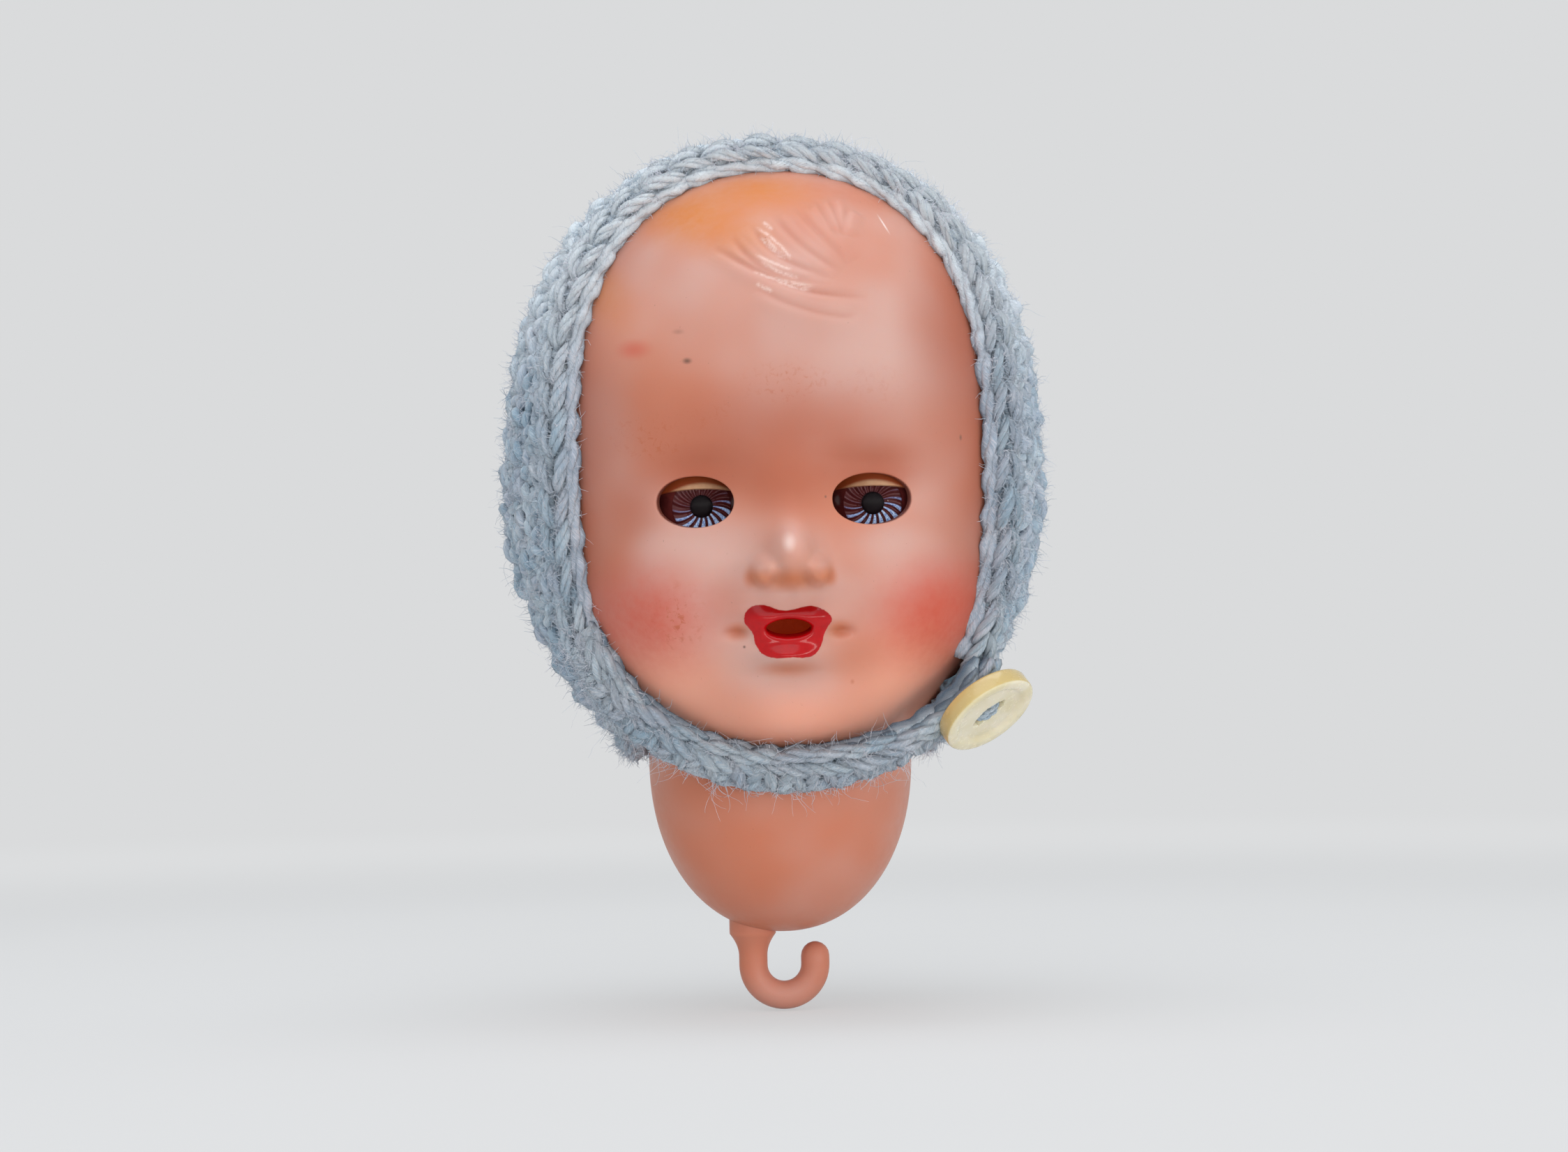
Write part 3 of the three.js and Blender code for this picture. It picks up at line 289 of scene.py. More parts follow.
# the moulded forelock, seen from the front: the grooves between its locks with their depths, and its glints
forelock = {
    "grooves": [
        (0.16, [(-2.8, 79.0), (0.9, 77.1), (5.3, 75.9), (8.0, 76.0)]),
        (0.28, [(-7.4, 83.7), (-1.7, 80.3), (3.1, 78.5), (9.6, 77.8)]),
        (0.2, [(-5.3, 84.9), (-2.6, 81.5), (0.7, 80.0), (5.5, 79.0)]),
        (0.18, [(-3.1, 86.2), (-1.2, 83.2), (1.5, 81.4), (5.3, 80.0)]),
        (0.15, [(-0.7, 87.5), (1.5, 84.4), (4.2, 82.1), (6.6, 80.6)]),
        (0.13, [(2.0, 88.3), (3.9, 85.5), (5.8, 83.4), (7.2, 81.5)]),
        (0.13, [(4.5, 89.1), (5.5, 86.7), (6.6, 84.7)]),
        (0.14, [(5.8, 89.3), (6.6, 87.0), (6.9, 84.7)]),
        (0.13, [(8.1, 88.3), (7.3, 86.5), (7.0, 84.7)]),
    ],
    "grooveWidth": 0.42,
    "lockWidth": 1.1,
    "lockRise": 0.3,
    "glints": [
        [(-1.7, 86.5), (-0.7, 85.3)],
        [(-2.6, 85.9), (-0.1, 83.6), (1.2, 81.8)],
        [(-2.8, 82.6), (-0.5, 81.4), (1.2, 80.8)],
        [(-3.1, 80.8), (-0.2, 79.7), (3.6, 78.9)],
        [(-2.8, 79.4), (-1.0, 78.4)],
        [(-1.6, 84.5), (-0.4, 83.1), (0.6, 82.0)],
        [(-2.2, 84.8), (-0.9, 83.2), (0.2, 82.2)],
        [(-2.2, 81.9), (-0.2, 80.6), (2.0, 79.9)],
        [(-1.0, 79.9), (1.2, 79.0), (3.2, 78.6)],
    ],
    "glintWidth": 0.17,
}


# how near a smooth line through some places comes, and how far along it that is
def besideLine(x, z, places_):
    places_ = asArray(places_)
    steps = np.linspace(0, 1, len(places_))
    t = np.linspace(0, 1, 60)
    degree = len(places_) - 1
    line = np.stack([np.polyval(np.polyfit(steps, places_[:, k], degree), t) for k in (0, 1)], axis=1)
    gaps = np.hypot(x[:, None] - line[:, 0], z[:, None] - line[:, 1])
    best = gaps.argmin(axis=1)
    return gaps[np.arange(len(x)), best], t[best]


# the forelock's rise, the share of each place that lies in a groove, and the share that glints
def forelockRise(x, z):
    f = forelock
    near = (x > -12) & (x < 13) & (z > 73)
    px, pz = x[near], z[near]
    sunk, lock, dark, glint = (np.zeros_like(px) for _ in range(4))
    for depth, line in f["grooves"]:
        gap, t = besideLine(px, pz, line)
        fade = np.clip(t * 6, 0, 1) * np.clip((1 - t) * 4, 0, 1) ** 0.7
        sunk = np.maximum(sunk, depth * fade * bell(gap, f["grooveWidth"]))
        dark = np.maximum(dark, fade * bell(gap, f["grooveWidth"] * 0.8) * depth / 0.5)
        lock = np.maximum(lock, f["lockRise"] * fade * bell(gap - 0.7, f["lockWidth"]))
    for line in f["glints"]:
        gap, t = besideLine(px, pz, line)
        fade = np.clip(t * 6, 0, 1) * np.clip((1 - t) * 6, 0, 1)
        glint = np.maximum(glint, fade * bell(gap, f["glintWidth"]))
    made = np.zeros((3, len(x)))
    made[:, near] = lock - sunk, dark, glint
    return made


# how far an ear stands out; the wool over it is rounder by a share
def earRise(points, share=1.0):
    e = earForm
    x, y, z = np.moveaxis(points, -1, 0)
    rise = e["rise"] * bell(y - e["back"], e["along"] * share) * bell(z - e["z"], e["up"] * share)
    return np.where(np.abs(x) > headForm["halfWidth"] / 2, rise, 0)


def faceRelief(points):
    x, y, z = points[..., 0], points[..., 1], points[..., 2]
    total = np.zeros_like(x)
    for px, pz, wide, up, down, rise, power, twin in faceForm:
        for side in (1, -1) if twin else (1,):
            reach = np.hypot((x - side * px) / wide, (z - pz) / np.where(z > pz, up, down))
            total += rise * np.exp(-(reach**power))
    return earRise(points) + np.where(y < 0, total, 0)


# the lips' painted outline, seen from the front, in mm from the middle of the mouth
lipOutline = asArray([
    (-4.9, 0.9), (-4.75, 1.9), (-3.9, 2.65), (-2.6, 2.7), (-1.4, 2.25), (-0.5, 2.1), (0.6, 2.2), (1.9, 2.5),
    (3.0, 2.45), (4.3, 1.75), (4.75, 1.0), (4.3, 0.2), (3.95, -0.5), (3.5, -1.9), (2.7, -2.9), (1.6, -3.15),
    (0.2, -3.1), (-1.6, -3.15), (-2.9, -2.7), (-3.7, -1.6), (-3.95, -0.5), (-4.4, 0.2),
])
# openings of the face: the outline, the edge's roll, its depth, and how far the shell's inside stays clear
openings = {
    "mouth": {"x": -0.1, "z": 41.3, "wide": 2.5, "high": 1.0, "roll": 0.5, "depth": 1.9, "clear": 0.9},
    "leftEye": {"x": 9.62, "z": 55.6, "wide": 4.5, "high": 2.85, "roll": 0.13, "depth": 1.15, "clear": 2.3},
}
openings["rightEye"] = {**openings["leftEye"], "x": -10.15, "wide": 4.24}
openingPower = 2.1


def smoothLoop(points, count=220):
    made = []
    for place in np.arange(count) / count * len(points):
        k, t = int(place), place - int(place)
        p0, p1, p2, p3 = (points[(k + d) % len(points)] for d in (-1, 0, 1, 2))
        square, cube = 2 * p0 - 5 * p1 + 4 * p2 - p3, 3 * p1 - p0 - 3 * p2 + p3
        made.append(0.5 * (2 * p1 + (p2 - p0) * t + square * t * t + cube * t**3))
    return asArray(made)


# distance to a closed loop, negative inside it
def loopDistance(x, z, loop):
    gaps = np.hypot(x[:, None] - loop[:, 0], z[:, None] - loop[:, 1]).min(axis=1)
    inside = np.zeros(len(x), dtype=bool)
    for (ax, az), (bx, bz) in zip(loop, np.roll(loop, -1, axis=0)):
        if bz != az:
            inside ^= ((az > z) != (bz > z)) & (x < (bx - ax) * (z - az) / (bz - az) + ax)
    return np.where(inside, -gaps, gaps)


# below 0 inside one of the openings, grown by the size that one of its keys gives; 9 where there is none
def nearOpening(points, key):
    value = np.full(len(points), 9.0)
    for form in openings.values():
        u = np.abs((points[:, 0] - form["x"]) / (form["wide"] + form[key]))
        v = np.abs((points[:, 2] - form["z"]) / (form["high"] + form[key]))
        value = np.minimum(value, (u**openingPower + v**openingPower) ** (1 / openingPower) - 1)
    return np.where(points[:, 1] < -12, value, 9.0)


def makeColumns(faceSteps, crowding):
    u = np.linspace(-1, 1, faceSteps + 1)
    return (math.pi / 2) * u * (crowding + (1 - crowding) * u * u)


# levels from the neck to the crown, closer together about the mouth and the forelock
def makeLevels(count, crowding, ends):
    fine = np.linspace(0, 1, 2001)
    busy = 1 + crowding * np.maximum(bell(fine - shareAt(47), 0.1), 0.9 * bell(fine - shareAt(83), 0.07))
    reached = np.concatenate([[0], np.cumsum((busy[1:] + busy[:-1]) / 2)])
    inner = np.interp(np.linspace(0, 1, count + 1)[1:-1], reached / reached[-1], fine)
    return np.concatenate([[ends], inner, [1 - ends]])


def headGrid(shares, angles, offset=0.0, locks=False):
    share, angle = np.meshgrid(shares, angles, indexing="ij")
    base, normal = basePoints(share, angle), baseNormals(share, angle)
    rise = faceRelief(base)
    dark, glint = np.zeros_like(rise), np.zeros_like(rise)
    if locks:
        front = base[..., 1] < 0
        extra, dark[front], glint[front] = forelockRise(base[..., 0][front], base[..., 2][front])
        rise[front] += extra
    points = base + normal * (offset + rise)[..., None]
    return points.reshape(-1, 3), normal.reshape(-1, 3), dark.ravel(), glint.ravel()


# moves grid points that are near an opening's edge onto it, then drops what lies inside
def cutOpenings(flat, rows, columns):
    faces = gridFaces(rows, columns, closed=False)
    value = nearOpening(flat, "roll")
    index = np.arange(rows * columns).reshape(rows, columns)
    beside = np.stack([index[:, :-1].ravel(), index[:, 1:].ravel()], 1)
    pairs = np.concatenate([beside, np.stack([index[:-1].ravel(), index[1:].ravel()], 1)])
    moves = {}
    for a, b in pairs[(value[pairs[:, 0]] < 0) != (value[pairs[:, 1]] < 0)]:
        t = value[a] / (value[a] - value[b])
        near, far, share = (a, b, t) if t < 0.5 else (b, a, 1 - t)
        if near not in moves or moves[near][0] > share:
            moves[near] = (share, flat[near] + (flat[far] - flat[near]) * share)
    for near, (_, place) in moves.items():
        flat[near] = place
        value[near] = 0
    least, most = value[faces].min(axis=1), value[faces].max(axis=1)
    kept = list(map(tuple, faces[(least >= 0) & (most > 0)]))
    for face in faces[(least < 0) & (most > 0)]:
        for k in range(4):
            if value[face[k]] > 0:
                kept.append((face[k - 1], face[k], face[(k + 1) % 4]))
    return kept, value


def boundaryLoops(kept, value):
    following = {b: a for a, b in borderEdges(kept) if value[a] == 0 and value[b] == 0}
    loops = []
    while following:
        start, at = following.popitem()
        loop = [start]
        while at != start and at in following:
            loop.append(at)
            at = following.pop(at)
        if len(loop) > 12:
            loops.append(loop)
    return loops


faceDetail = {
    "columns": 264,
    "levels": 350,
    "columnCrowding": 0.62,
    "levelCrowding": 5,
    "poleGap": 0.0008,
    "lipRise": 0.22,  # lips stand a little proud of the skin, with a soft edge
    "bare": 5.0,  # mm from the lips: no paint
}


def makeFace(material):
    d = faceDetail
    shares = makeLevels(d["levels"], d["levelCrowding"], d["poleGap"])
    angles = makeColumns(d["columns"], d["columnCrowding"])
    flat, normal, dark, glint = headGrid(shares, angles, locks=True)
    mouth = openings["mouth"]
    x, z = flat[:, 0] - mouth["x"], flat[:, 2] - mouth["z"]
    near = (np.abs(flat[:, 0]) < 9) & (np.abs(z) < 8) & (flat[:, 1] < -12)
    lip = np.full(len(flat), d["bare"])
    lip[near] = loopDistance(x[near], z[near], smoothLoop(lipOutline))
    flat += normal * (d["lipRise"] / (1 + np.exp(np.clip(lip, -4, 4) * 5)))[:, None]
    kept, value = cutOpenings(flat, len(shares), len(angles))
    points, lips, depths = [flat], [lip], [np.zeros(len(flat))]
    total = len(flat)
    for previous in boundaryLoops(kept, value):
        edge, edgeLip = flat[previous], lip[previous]
        middle = edge.mean(axis=0)
        form = openings["mouth" if abs(middle[0]) < 4 else "leftEye"]
        out = unit(normal[previous].mean(axis=0))
        inward = middle - edge
        inward = unit(inward - (inward @ out)[:, None] * out)
        # the outline's own inward direction, from its neighbours
        square = unit(np.cross(out, np.roll(edge, -1, axis=0) - np.roll(edge, 1, axis=0)))
        square *= np.sign((square * inward).sum(axis=1))[:, None]
        roll = form["roll"]
        steps = [(roll * math.sin(t), roll * (1 - math.cos(t))) for t in np.radians([25, 50, 75, 90])]
        for reach, sink in [*steps, (roll, form["depth"] * 0.6), (roll, form["depth"])]:
            indices = list(range(total, total + len(edge)))
            total += len(edge)
            points.append(edge + square * reach - out * sink)
            lips.append(edgeLip)
            depths.append(np.full(len(edge), min(0.85, 0.25 + sink / form["depth"])))
            for a in range(len(edge)):
                b = (a + 1) % len(edge)
                kept.append((previous[a], previous[b], indices[b], indices[a]))
            previous = indices
    # the inside of the moulding
    shares, angles = makeLevels(70, 0, 0.004), makeColumns(60, 1)
    inner, *_ = headGrid(shares, angles, -headForm["wall"])
    hole = nearOpening(inner, "clear")
    faces = gridFaces(len(shares), len(angles), closed=False)[:, ::-1]
    kept += [tuple(face + total) for face in faces if hole[face].min() > 0]
    rest = np.zeros(total + len(inner) - len(dark))
    shares = {
        "lip": np.concatenate([*lips, np.full(len(inner), d["bare"])]),
        "inside": np.concatenate([*depths, np.ones(len(inner))]),
        "groove": np.concatenate([dark, rest]),
        "glint": np.concatenate([glint, rest]),
    }
    points = np.concatenate([*points, inner])
    return makePiece("face", points, kept, material, "head", "face_shell", 50, shares)


def makeBack(material):
    angles = math.pi / 2 + np.linspace(0, math.pi, 71)
    shares = makeLevels(110, 0, faceDetail["poleGap"])
    columns = len(angles)
    points = np.concatenate([headGrid(shares, angles)[0], headGrid(shares, angles, -headForm["wall"])[0]])
    count = len(points) // 2
    faces = sheetFaces(gridFaces(len(shares), columns, False), count, lambda a, b: (a - b) % columns == 0)
    shares = {"lip": np.full(2 * count, faceDetail["bare"]), "inside": np.repeat([0, 1], count)}
    return makePiece("back", points, faces, material, "head", "back_shell", 50, shares)


# Skin: pressed plastic, tinted in the mass, then sprayed and brushed. The eye reads the soft glow at the
# edges, the matt orange over-spray of the hair, two rouge spots and the wet red of the lips. Some of its
# tones are painted light and shade: the tan at the sides and brow, the paler under-eyes, jaws and chin, the
# creases, the darker upper lip and the glowing inside of the shell.
skin = {
    "base": "#cb836a",
    "pale": "#d0a79c",
    "tan": "#ac5d43",
    "neck": "#cd7450",
    "nose": "#cb7a50",
    "jaw": "#f6ae94",
    "lock": "#bd6a4c",
    "glint": "#f3ded6",
    "edge": "#6a2a1c",
    "inside": "#8f2a0c",
    "insideHigh": "#4a1a12",
    "throughShell": "#b8401a",
    "rouge": "#cb543f",
    "hairPaint": "#d07c36",
    "lips": "#bb070f",
    "lipsDeep": "#ae060d",
    "lipsTop": "#960209",
    "stain": "#b4592e",
    "dirt": "#6b5146",
    "scratch": "#f6e6e2",
    "roughness": 0.42,
    # what is sprayed, worn or painted as light and shade, in order: how, its tone, each spot's x, z, reach
    # across and up, share, turn
    "spots": [
        # painted shade, over some of the paint's own tan: the sides, the brow, the eye sockets and a band
        # above the eyes are darker and yellower than the middle of the face
        ("soft", "tan", [
            (0, 63, 26, 10, 0.75), (0, 57.5, 9, 5.5, 0.6), (20, 74, 9, 14, 0.6), (-5, 44, 7, 6, 0.35),
            (6, 44, 7, 6, 0.2), (0, 74, 12, 6, 0.15), (-10, 59, 9, 4.2, 0.7), (10, 59, 9, 4.6, 0.8),
            (-16.5, 55, 5, 6, 0.5),
        ]),
        # painted light: paler under the eyes, on the tip of the nose, the chin and the muzzle, which face the
        # light
        ("soft", "pale", [
            (0, 44, 13, 7, 0.15), (-11, 50.5, 7.5, 3.8, 0.8), (11.5, 50.5, 7.5, 3.8, 0.8),
            (0.3, 51, 2.6, 3.2, 0.6), (0, 35, 9, 4, 0.3),
        ]),
        # painted shade over some of the paint's own tan: a yellower tan under the tip of the nose, on its
        # wings, at the mouth's corners and below the lip
        ("soft", "nose", [
            (0.3, 48.0, 6.6, 4.0, 0.3), (0.3, 46.8, 5.6, 1.8, 0.85), (-3.2, 47.0, 1.9, 1.4, 0.6),
            (3.9, 47.0, 1.9, 1.4, 0.6), (-4.2, 47.3, 1.2, 1.7, 0.5), (4.5, 47.3, 1.2, 1.7, 0.5),
            (-5.7, 41.2, 1.8, 1.3, 0.55), (5.4, 41.2, 1.8, 1.3, 0.6), (-0.2, 36.9, 4.6, 1.5, 0.45),
        ]),
        # painted light: one temple, both jaws and the chin are paler where the lamps reach them little
        ("soft", "jaw", [(-18, 76, 8, 9, 0.25)]),
        ("soft", "rouge", [(17, 42.5, 9, 8, 0.5)]),
        ("soft", "jaw", [(-15, 34, 13, 12, 1.0), (15, 34, 14, 12, 1.0)]),
        # more painted shade beside the nose and below the mouth
        ("soft", "tan", [(8, 38, 5, 4, 0.2), (-7, 45, 4, 5, 0.3)]),
        ("soft", "jaw", [(0, 31, 18, 5, 0.7)]),
        # painted shade in the creases: the mouth's corners, under the lower lip and beside the nostrils
        ("soft", "lock", [
            (-5.9, 41.1, 2.1, 1.4, 0.6), (5.7, 41.1, 2.3, 1.4, 0.65), (-0.2, 36.9, 4.4, 1.2, 0.3),
            (-4.45, 46.9, 0.9, 1.4, 0.4), (4.8, 46.9, 0.9, 1.4, 0.4),
        ]),
        ("soft", "glint", [(-0.1, 50.9, 1.0, 1.5, 0.55)]),
        # rouge, sprayed in two soft rounds
        ("sprayed", "rouge", [(-15.6, 42.4, 11.55, 9.8, 1.0), (16.8, 42.2, 11.55, 9.8, 1.0)]),
        # hair paint along the bonnet's edge, densest at the doll's right
        ("misty", "hairPaint", [
            (-10.5, 88.6, 12.5, 6.4, 1.0, -27), (-3.0, 91.5, 11.5, 5.4, 0.95, -10),
            (-20.5, 80.5, 8.5, 4.4, 0.55, -58), (-4.5, 86.5, 8, 4.5, 0.35, -30),
        ]),
        ("broken", "stain", [
            (0.2, 68.6, 6.5, 3.4, 0.5), (-15.5, 63.2, 6.5, 3.8, 0.32), (-12.3, 42.6, 4.2, 5.5, 0.6),
            (-14, 62, 4, 3, 0.3), (10, 68, 7, 4, 0.12), (-8, 65, 5, 3, 0.25),
        ]),
        ("worn", "dirt", [(-10.7, 71.3, 0.75, 0.5, 0.85)]),
        ("worn", "rouge", [(-16.5, 72.8, 2.6, 1.5, 0.55)]),
        ("worn", "hairPaint", [(-22.3, 79.9, 1.0, 1.6, 0.7)]),
        ("worn", "dirt", [
            (-5.05, 39.4, 0.24, 0.24, 0.95), (4.3, 55.9, 0.2, 0.24, 0.8), (20.1, 62.3, 0.24, 0.5, 0.7),
            (-11.6, 74.6, 0.9, 0.45, 0.3),
        ]),
        ("worn", "stain", [(7.1, 35.2, 0.35, 0.4, 0.4)]),
        ("worn", "scratch", [(12.1, 86.6, 0.16, 1.7, 0.8, 28)]),
    ],
}


# a soft spot seen from the front: 1 at its middle
def spot(x, z, wide, high, twistDegrees=0.0):
    centred = add("away", where, (x, 0, z))
    if twistDegrees:
        centred = add("turned", centred, math.radians(twistDegrees))
    return add("ramp", add("length", add("stretched", centred, (1 / wide, 0, 1 / high))), 1.0, 0.0)


def makeSkin(name, painted):
    material = newMaterial(name)
    s = skin
    fine = add("noise", where, 1 / 1.1, 4)
    x, y, z = add("split", where)
    colour = patches(22, 2, s["base"], s["pale"], 0.35, 0.68)
    colour = add("mix", add("ramp", z, 29.0, 22.0, 0.0, 0.4), colour, s["neck"])
    if painted:
        front = add("ramp", y, -8.0, -17.0)
        # painted shade over the paint's own tan: the face darkens toward its sides
        colour = add("mix", add("times", add("ramp", add("unsigned", x), 12.0, 25.0), 0.75), colour, s["tan"])
        broken = add("ramp", add("noise", where, 1 / 0.8, 5, 0.7, 0.6), 0.52, 0.66)
        covers = {
            "soft": 1.0,
            "sprayed": add("times", front, add("ramp", fine, 0.2, 0.8, 0.66, 0.84)),
            "misty": add("times", front, add("ramp", fine, 0.15, 0.75, 0.75, 1.0)),
            "broken": add("times", front, broken),
            "worn": front,
        }
        for how, tone, spots in s["spots"]:
            for px, pz, wide, high, share, *twist in spots:
                cover = add("times", add("times", spot(px, pz, wide, high, *twist), covers[how]), share)
                colour = add("mix", cover, colour, s[tone])
        # painted shade in the grooves between the locks
        colour = add("mix", add("times", held("groove"), 0.65), colour, s["lock"])
        glint = add("times", held("glint"), add("ramp", add("noise", where, 1 / 0.5), 0.35, 0.6, 0.2, 0.6))
        colour = add("mix", glint, colour, s["glint"])
    specks = add("ramp", add("noise", where, 1 / 0.34, 2, 0.6), 0.73, 0.78)
    colour = add("mix", add("times", specks, 0.35), colour, s["dirt"])
    # painted shade: an opening's edge darkens before the shell's inside is reached, and the inside is darkest
    # behind the eyes
    inside, low = add("ramp", held("inside"), 0.9, 1.0), add("ramp", z, 51.5, 48.5)
    colour = add("mix", add("ramp", held("inside"), 0.0, 0.8, 0.0, 0.85), colour, s["edge"])
    colour = add("mix", inside, colour, add("mix", low, s["insideHigh"], s["inside"]))
    lips = add("ramp", add("plus", held("lip"), add("times", fine, -0.16)), 0.0, -0.13)
    mouth = openings["mouth"]["z"]
    # painted shade: the upper lip is darker than the lower
    lipTop = add("ramp", z, mouth + 0.6, mouth + 2.4)
    lipTone = add("mix", lipTop, patches(0.9, 3, s["lips"], s["lipsDeep"], 0.35, 0.75), s["lipsTop"])
    dry = add("ramp", fine, 0.2, 0.9, s["roughness"] - 0.05, s["roughness"] + 0.1)
    orangePeel = add("plus", add("noise", where, 1 / 2.4), add("times", fine, 0.25))
    fill(shader, {
        "Base Color": add("mix", lips, colour, lipTone),
        "Roughness": add("times", dry, add("ramp", lips, 0.0, 1.0, 1.0, 0.42)),
        # painted light: the shell's inside below the eyes glows dimly, standing in for daylight through the
        # thin shell
        "Emission Color": add("mix", add("times", inside, low), "#000000", s["throughShell"]),
        "Emission Strength": 0.35,
        "Specular IOR Level": 0.22,
        "Subsurface Weight": 0.3,
        "Subsurface Radius": (1.0, 0.38, 0.22),
        "Subsurface Scale": 2.0 * mm,
        "Coat Weight": add("times", add("ramp", lips, 0, 1, 0.03, 0.2), add("ramp", lipTop, 0, 1, 1.0, 0.3)),
        "Coat Roughness": 0.06,
        "Normal": add("bump", orangePeel, 0.3, 0.06 * mm),
    })
    return material


plainSkin = makeSkin("Moulded plastic, plain", False)
makeFace(makeSkin("Moulded plastic with sprayed paint", True))
makeBack(plainSkin)


# directions across a line at each of its places, which follow it without twisting
def framesAlong(line, first=None):
    ahead = unit(np.gradient(line, axis=0))
    side = np.cross(ahead[0], (0.13, 0.29, 0.95)) if first is None else first
    sides = []
    for direction in ahead:
        side = side - direction * (side @ direction)
        side = side / max(np.linalg.norm(side), 1e-9)
        sides.append(side)
    return asArray(sides)[:, None], np.cross(ahead, sides)[:, None]


# where loose fibres can leave each piece of yarn: name, places, outward and lengthwise directions, rise
woolRoots = []


# many tubes gathered into one mesh, each vertex knowing how far along, round and out of the fabric it lies
class Strands:
    def __init__(self):
        self.points, self.faces, self.shares = [], [], {"along": [], "around": [], "rise": [], "tone": []}
        self.total = 0
        self.outs, self.aheads = [], []

    def add(self, line, radii, sides=6, first=None, normals=None, heights=0.0, tone=0.5, along=None):
        line = asArray(line)
        count = len(line)
        a, b = framesAlong(line, first)
        turns = np.linspace(0, 2 * math.pi, sides, endpoint=False)[:, None]
        round_ = np.broadcast_to(radii, (count,))[:, None, None] * (np.cos(turns) * a + np.sin(turns) * b)
        self.faces.extend(map(tuple, gridFaces(count, sides, True, self.total)))
        self.faces.append(tuple(range(self.total + sides - 1, self.total - 1, -1)))
        self.faces.append(tuple(range(self.total + (count - 1) * sides, self.total + count * sides)))
        out = 0.0 if normals is None else (round_ * np.asarray(normals)[:, None]).sum(axis=-1)
        rise = np.broadcast_to(np.broadcast_to(heights, (count,))[:, None] + out, (count, sides))
        self.points.append((line[:, None] + round_).reshape(-1, 3))
        self.outs.append(unit(round_).reshape(-1, 3))
        self.aheads.append(np.repeat(unit(np.gradient(line, axis=0)), sides, axis=0))
        self.shares["along"].append(np.repeat(runLength(line) if along is None else along, sides))
        self.shares["around"].append(np.tile(np.linspace(0, 1, sides, endpoint=False), count))
        self.shares["rise"].append(rise.ravel())
        self.shares["tone"].append(np.full(count * sides, tone))
        self.total += count * sides

    # plies laid round one line; radius may swell along it
    def addYarn(self, line, radius, plies, lay, sides=5, phase=0.0, normals=None, heights=0.0, tone=0.5):
        line = asArray(line)
        radius = np.broadcast_to(radius, (len(line),))
        length = runLength(line)
        a, b = framesAlong(line)
        for ply in range(plies):
            turn = (phase + 2 * math.pi * (ply / plies + length / lay))[:, None]
            shift = (radius * 0.5)[:, None] * (np.cos(turn) * a[:, 0] + np.sin(turn) * b[:, 0])
            out = heights + (0.0 if normals is None else (shift * normals).sum(axis=-1))
            self.add(line + shift, radius * 0.58, sides, None, normals, out, tone, length)

    def piece(self, name, material, body, node):
        shares = {key: np.concatenate(values) for key, values in self.shares.items()}
        points, outs, aheads = (np.concatenate(part) for part in (self.points, self.outs, self.aheads))
        woolRoots.append((name, points, outs, aheads, shares["rise"]))
        return makePiece(name, points, self.faces, material, body, node, shares=shares)


# Crochet yarn: brushed two-ply wool, pale blue, lavender where it is thick; its hollows take a painted teal
# shade, and its crown painted light.
yarn = {
    "light": "#dbe8f1",
    "mid": "#b2cadb",
    "warm": "#cdcddb",
    "deep": "#7ea2bb",
    "hollow": "#3d6a89",
    "streak": "#eef0f8",
    "bleached": "#ecf7ff",
    "sheen": "#e8eef4",
    "fibres": (0.5, 9.0, 2.2),  # per mm along the yarn, round it, and their grain
    "lay": 7.5,
}


def makeYarn(name, hollowFrom, hollowTo, hollowShare, relief):
    material = newMaterial(name)
    y = yarn
    # fibres run with the yarn, turning slowly round it
    along, across, size = y["fibres"]
    turned = add("plus", held("around"), add("times", held("along"), 0.3))
    lengthways = add("joined", add("times", held("along"), along), add("times", turned, across), held("tone"))
    fibre = add("noise", lengthways, size, 4, 0.7, 0.5)
    tone = patches(7, 2, y["mid"], y["light"], 0.35, 0.65)
    height = add("split", where)[2]
    # painted shade: yarn that lies low in the fabric is darker
    hollow = add("plus", held("rise"), add("times", add("noise", where, 1 / 1.3), 0.5))
    hollow = add("ramp", hollow, hollowFrom, hollowTo, hollowShare, 0.0)
    for share, colour in (
        (add("times", add("ramp", held("tone"), 0.3, 1.0), 0.5), "warm"),
        (add("ramp", fibre, 0.58, 0.3, 0.0, 0.7), "deep"),
        (add("ramp", fibre, 0.54, 0.72, 0.0, 0.75), "streak"),
        (add("ramp", height, 64.0, 86.0, 0.0, 0.95), "bleached"),  # painted light: the crown is paler, as the light falls on it from above
        # the painted shade fades toward the lit crown
        (add("times", hollow, add("ramp", height, 64.0, 88.0, 1.0, 0.45)), "hollow"),
    ):
        tone = add("mix", share, tone, y[colour])
    felt = add("plus", fibre, add("times", add("noise", where, 1 / 0.35), 0.9))
    fill(shader, {
        "Base Color": tone,
        "Roughness": 0.92,
        "Specular IOR Level": 0.15,
        "Sheen Weight": 0.45,
        "Sheen Roughness": 0.5,
        "Sheen Tint": y["sheen"],
        "Subsurface Weight": 0.2,
        "Subsurface Radius": (0.9, 1.0, 1.1),
        "Subsurface Scale": 0.5 * mm,
        "Normal": add("bump", felt, 1.0, relief * mm),
    })
    return material


rowYarn = makeYarn("Wool, crocheted rounds", -0.6, 0.5, 0.6, 0.2)
edgeYarn = makeYarn("Wool, edging chain", -0.45, 0.5, 0.6, 0.3)
strapYarn = makeYarn("Wool, chin strap chain", -0.2, 0.9, 0.9, 0.45)
threadYarn = makeYarn("Wool, sewing end", -0.6, 0.2, 0.7, 0.2)

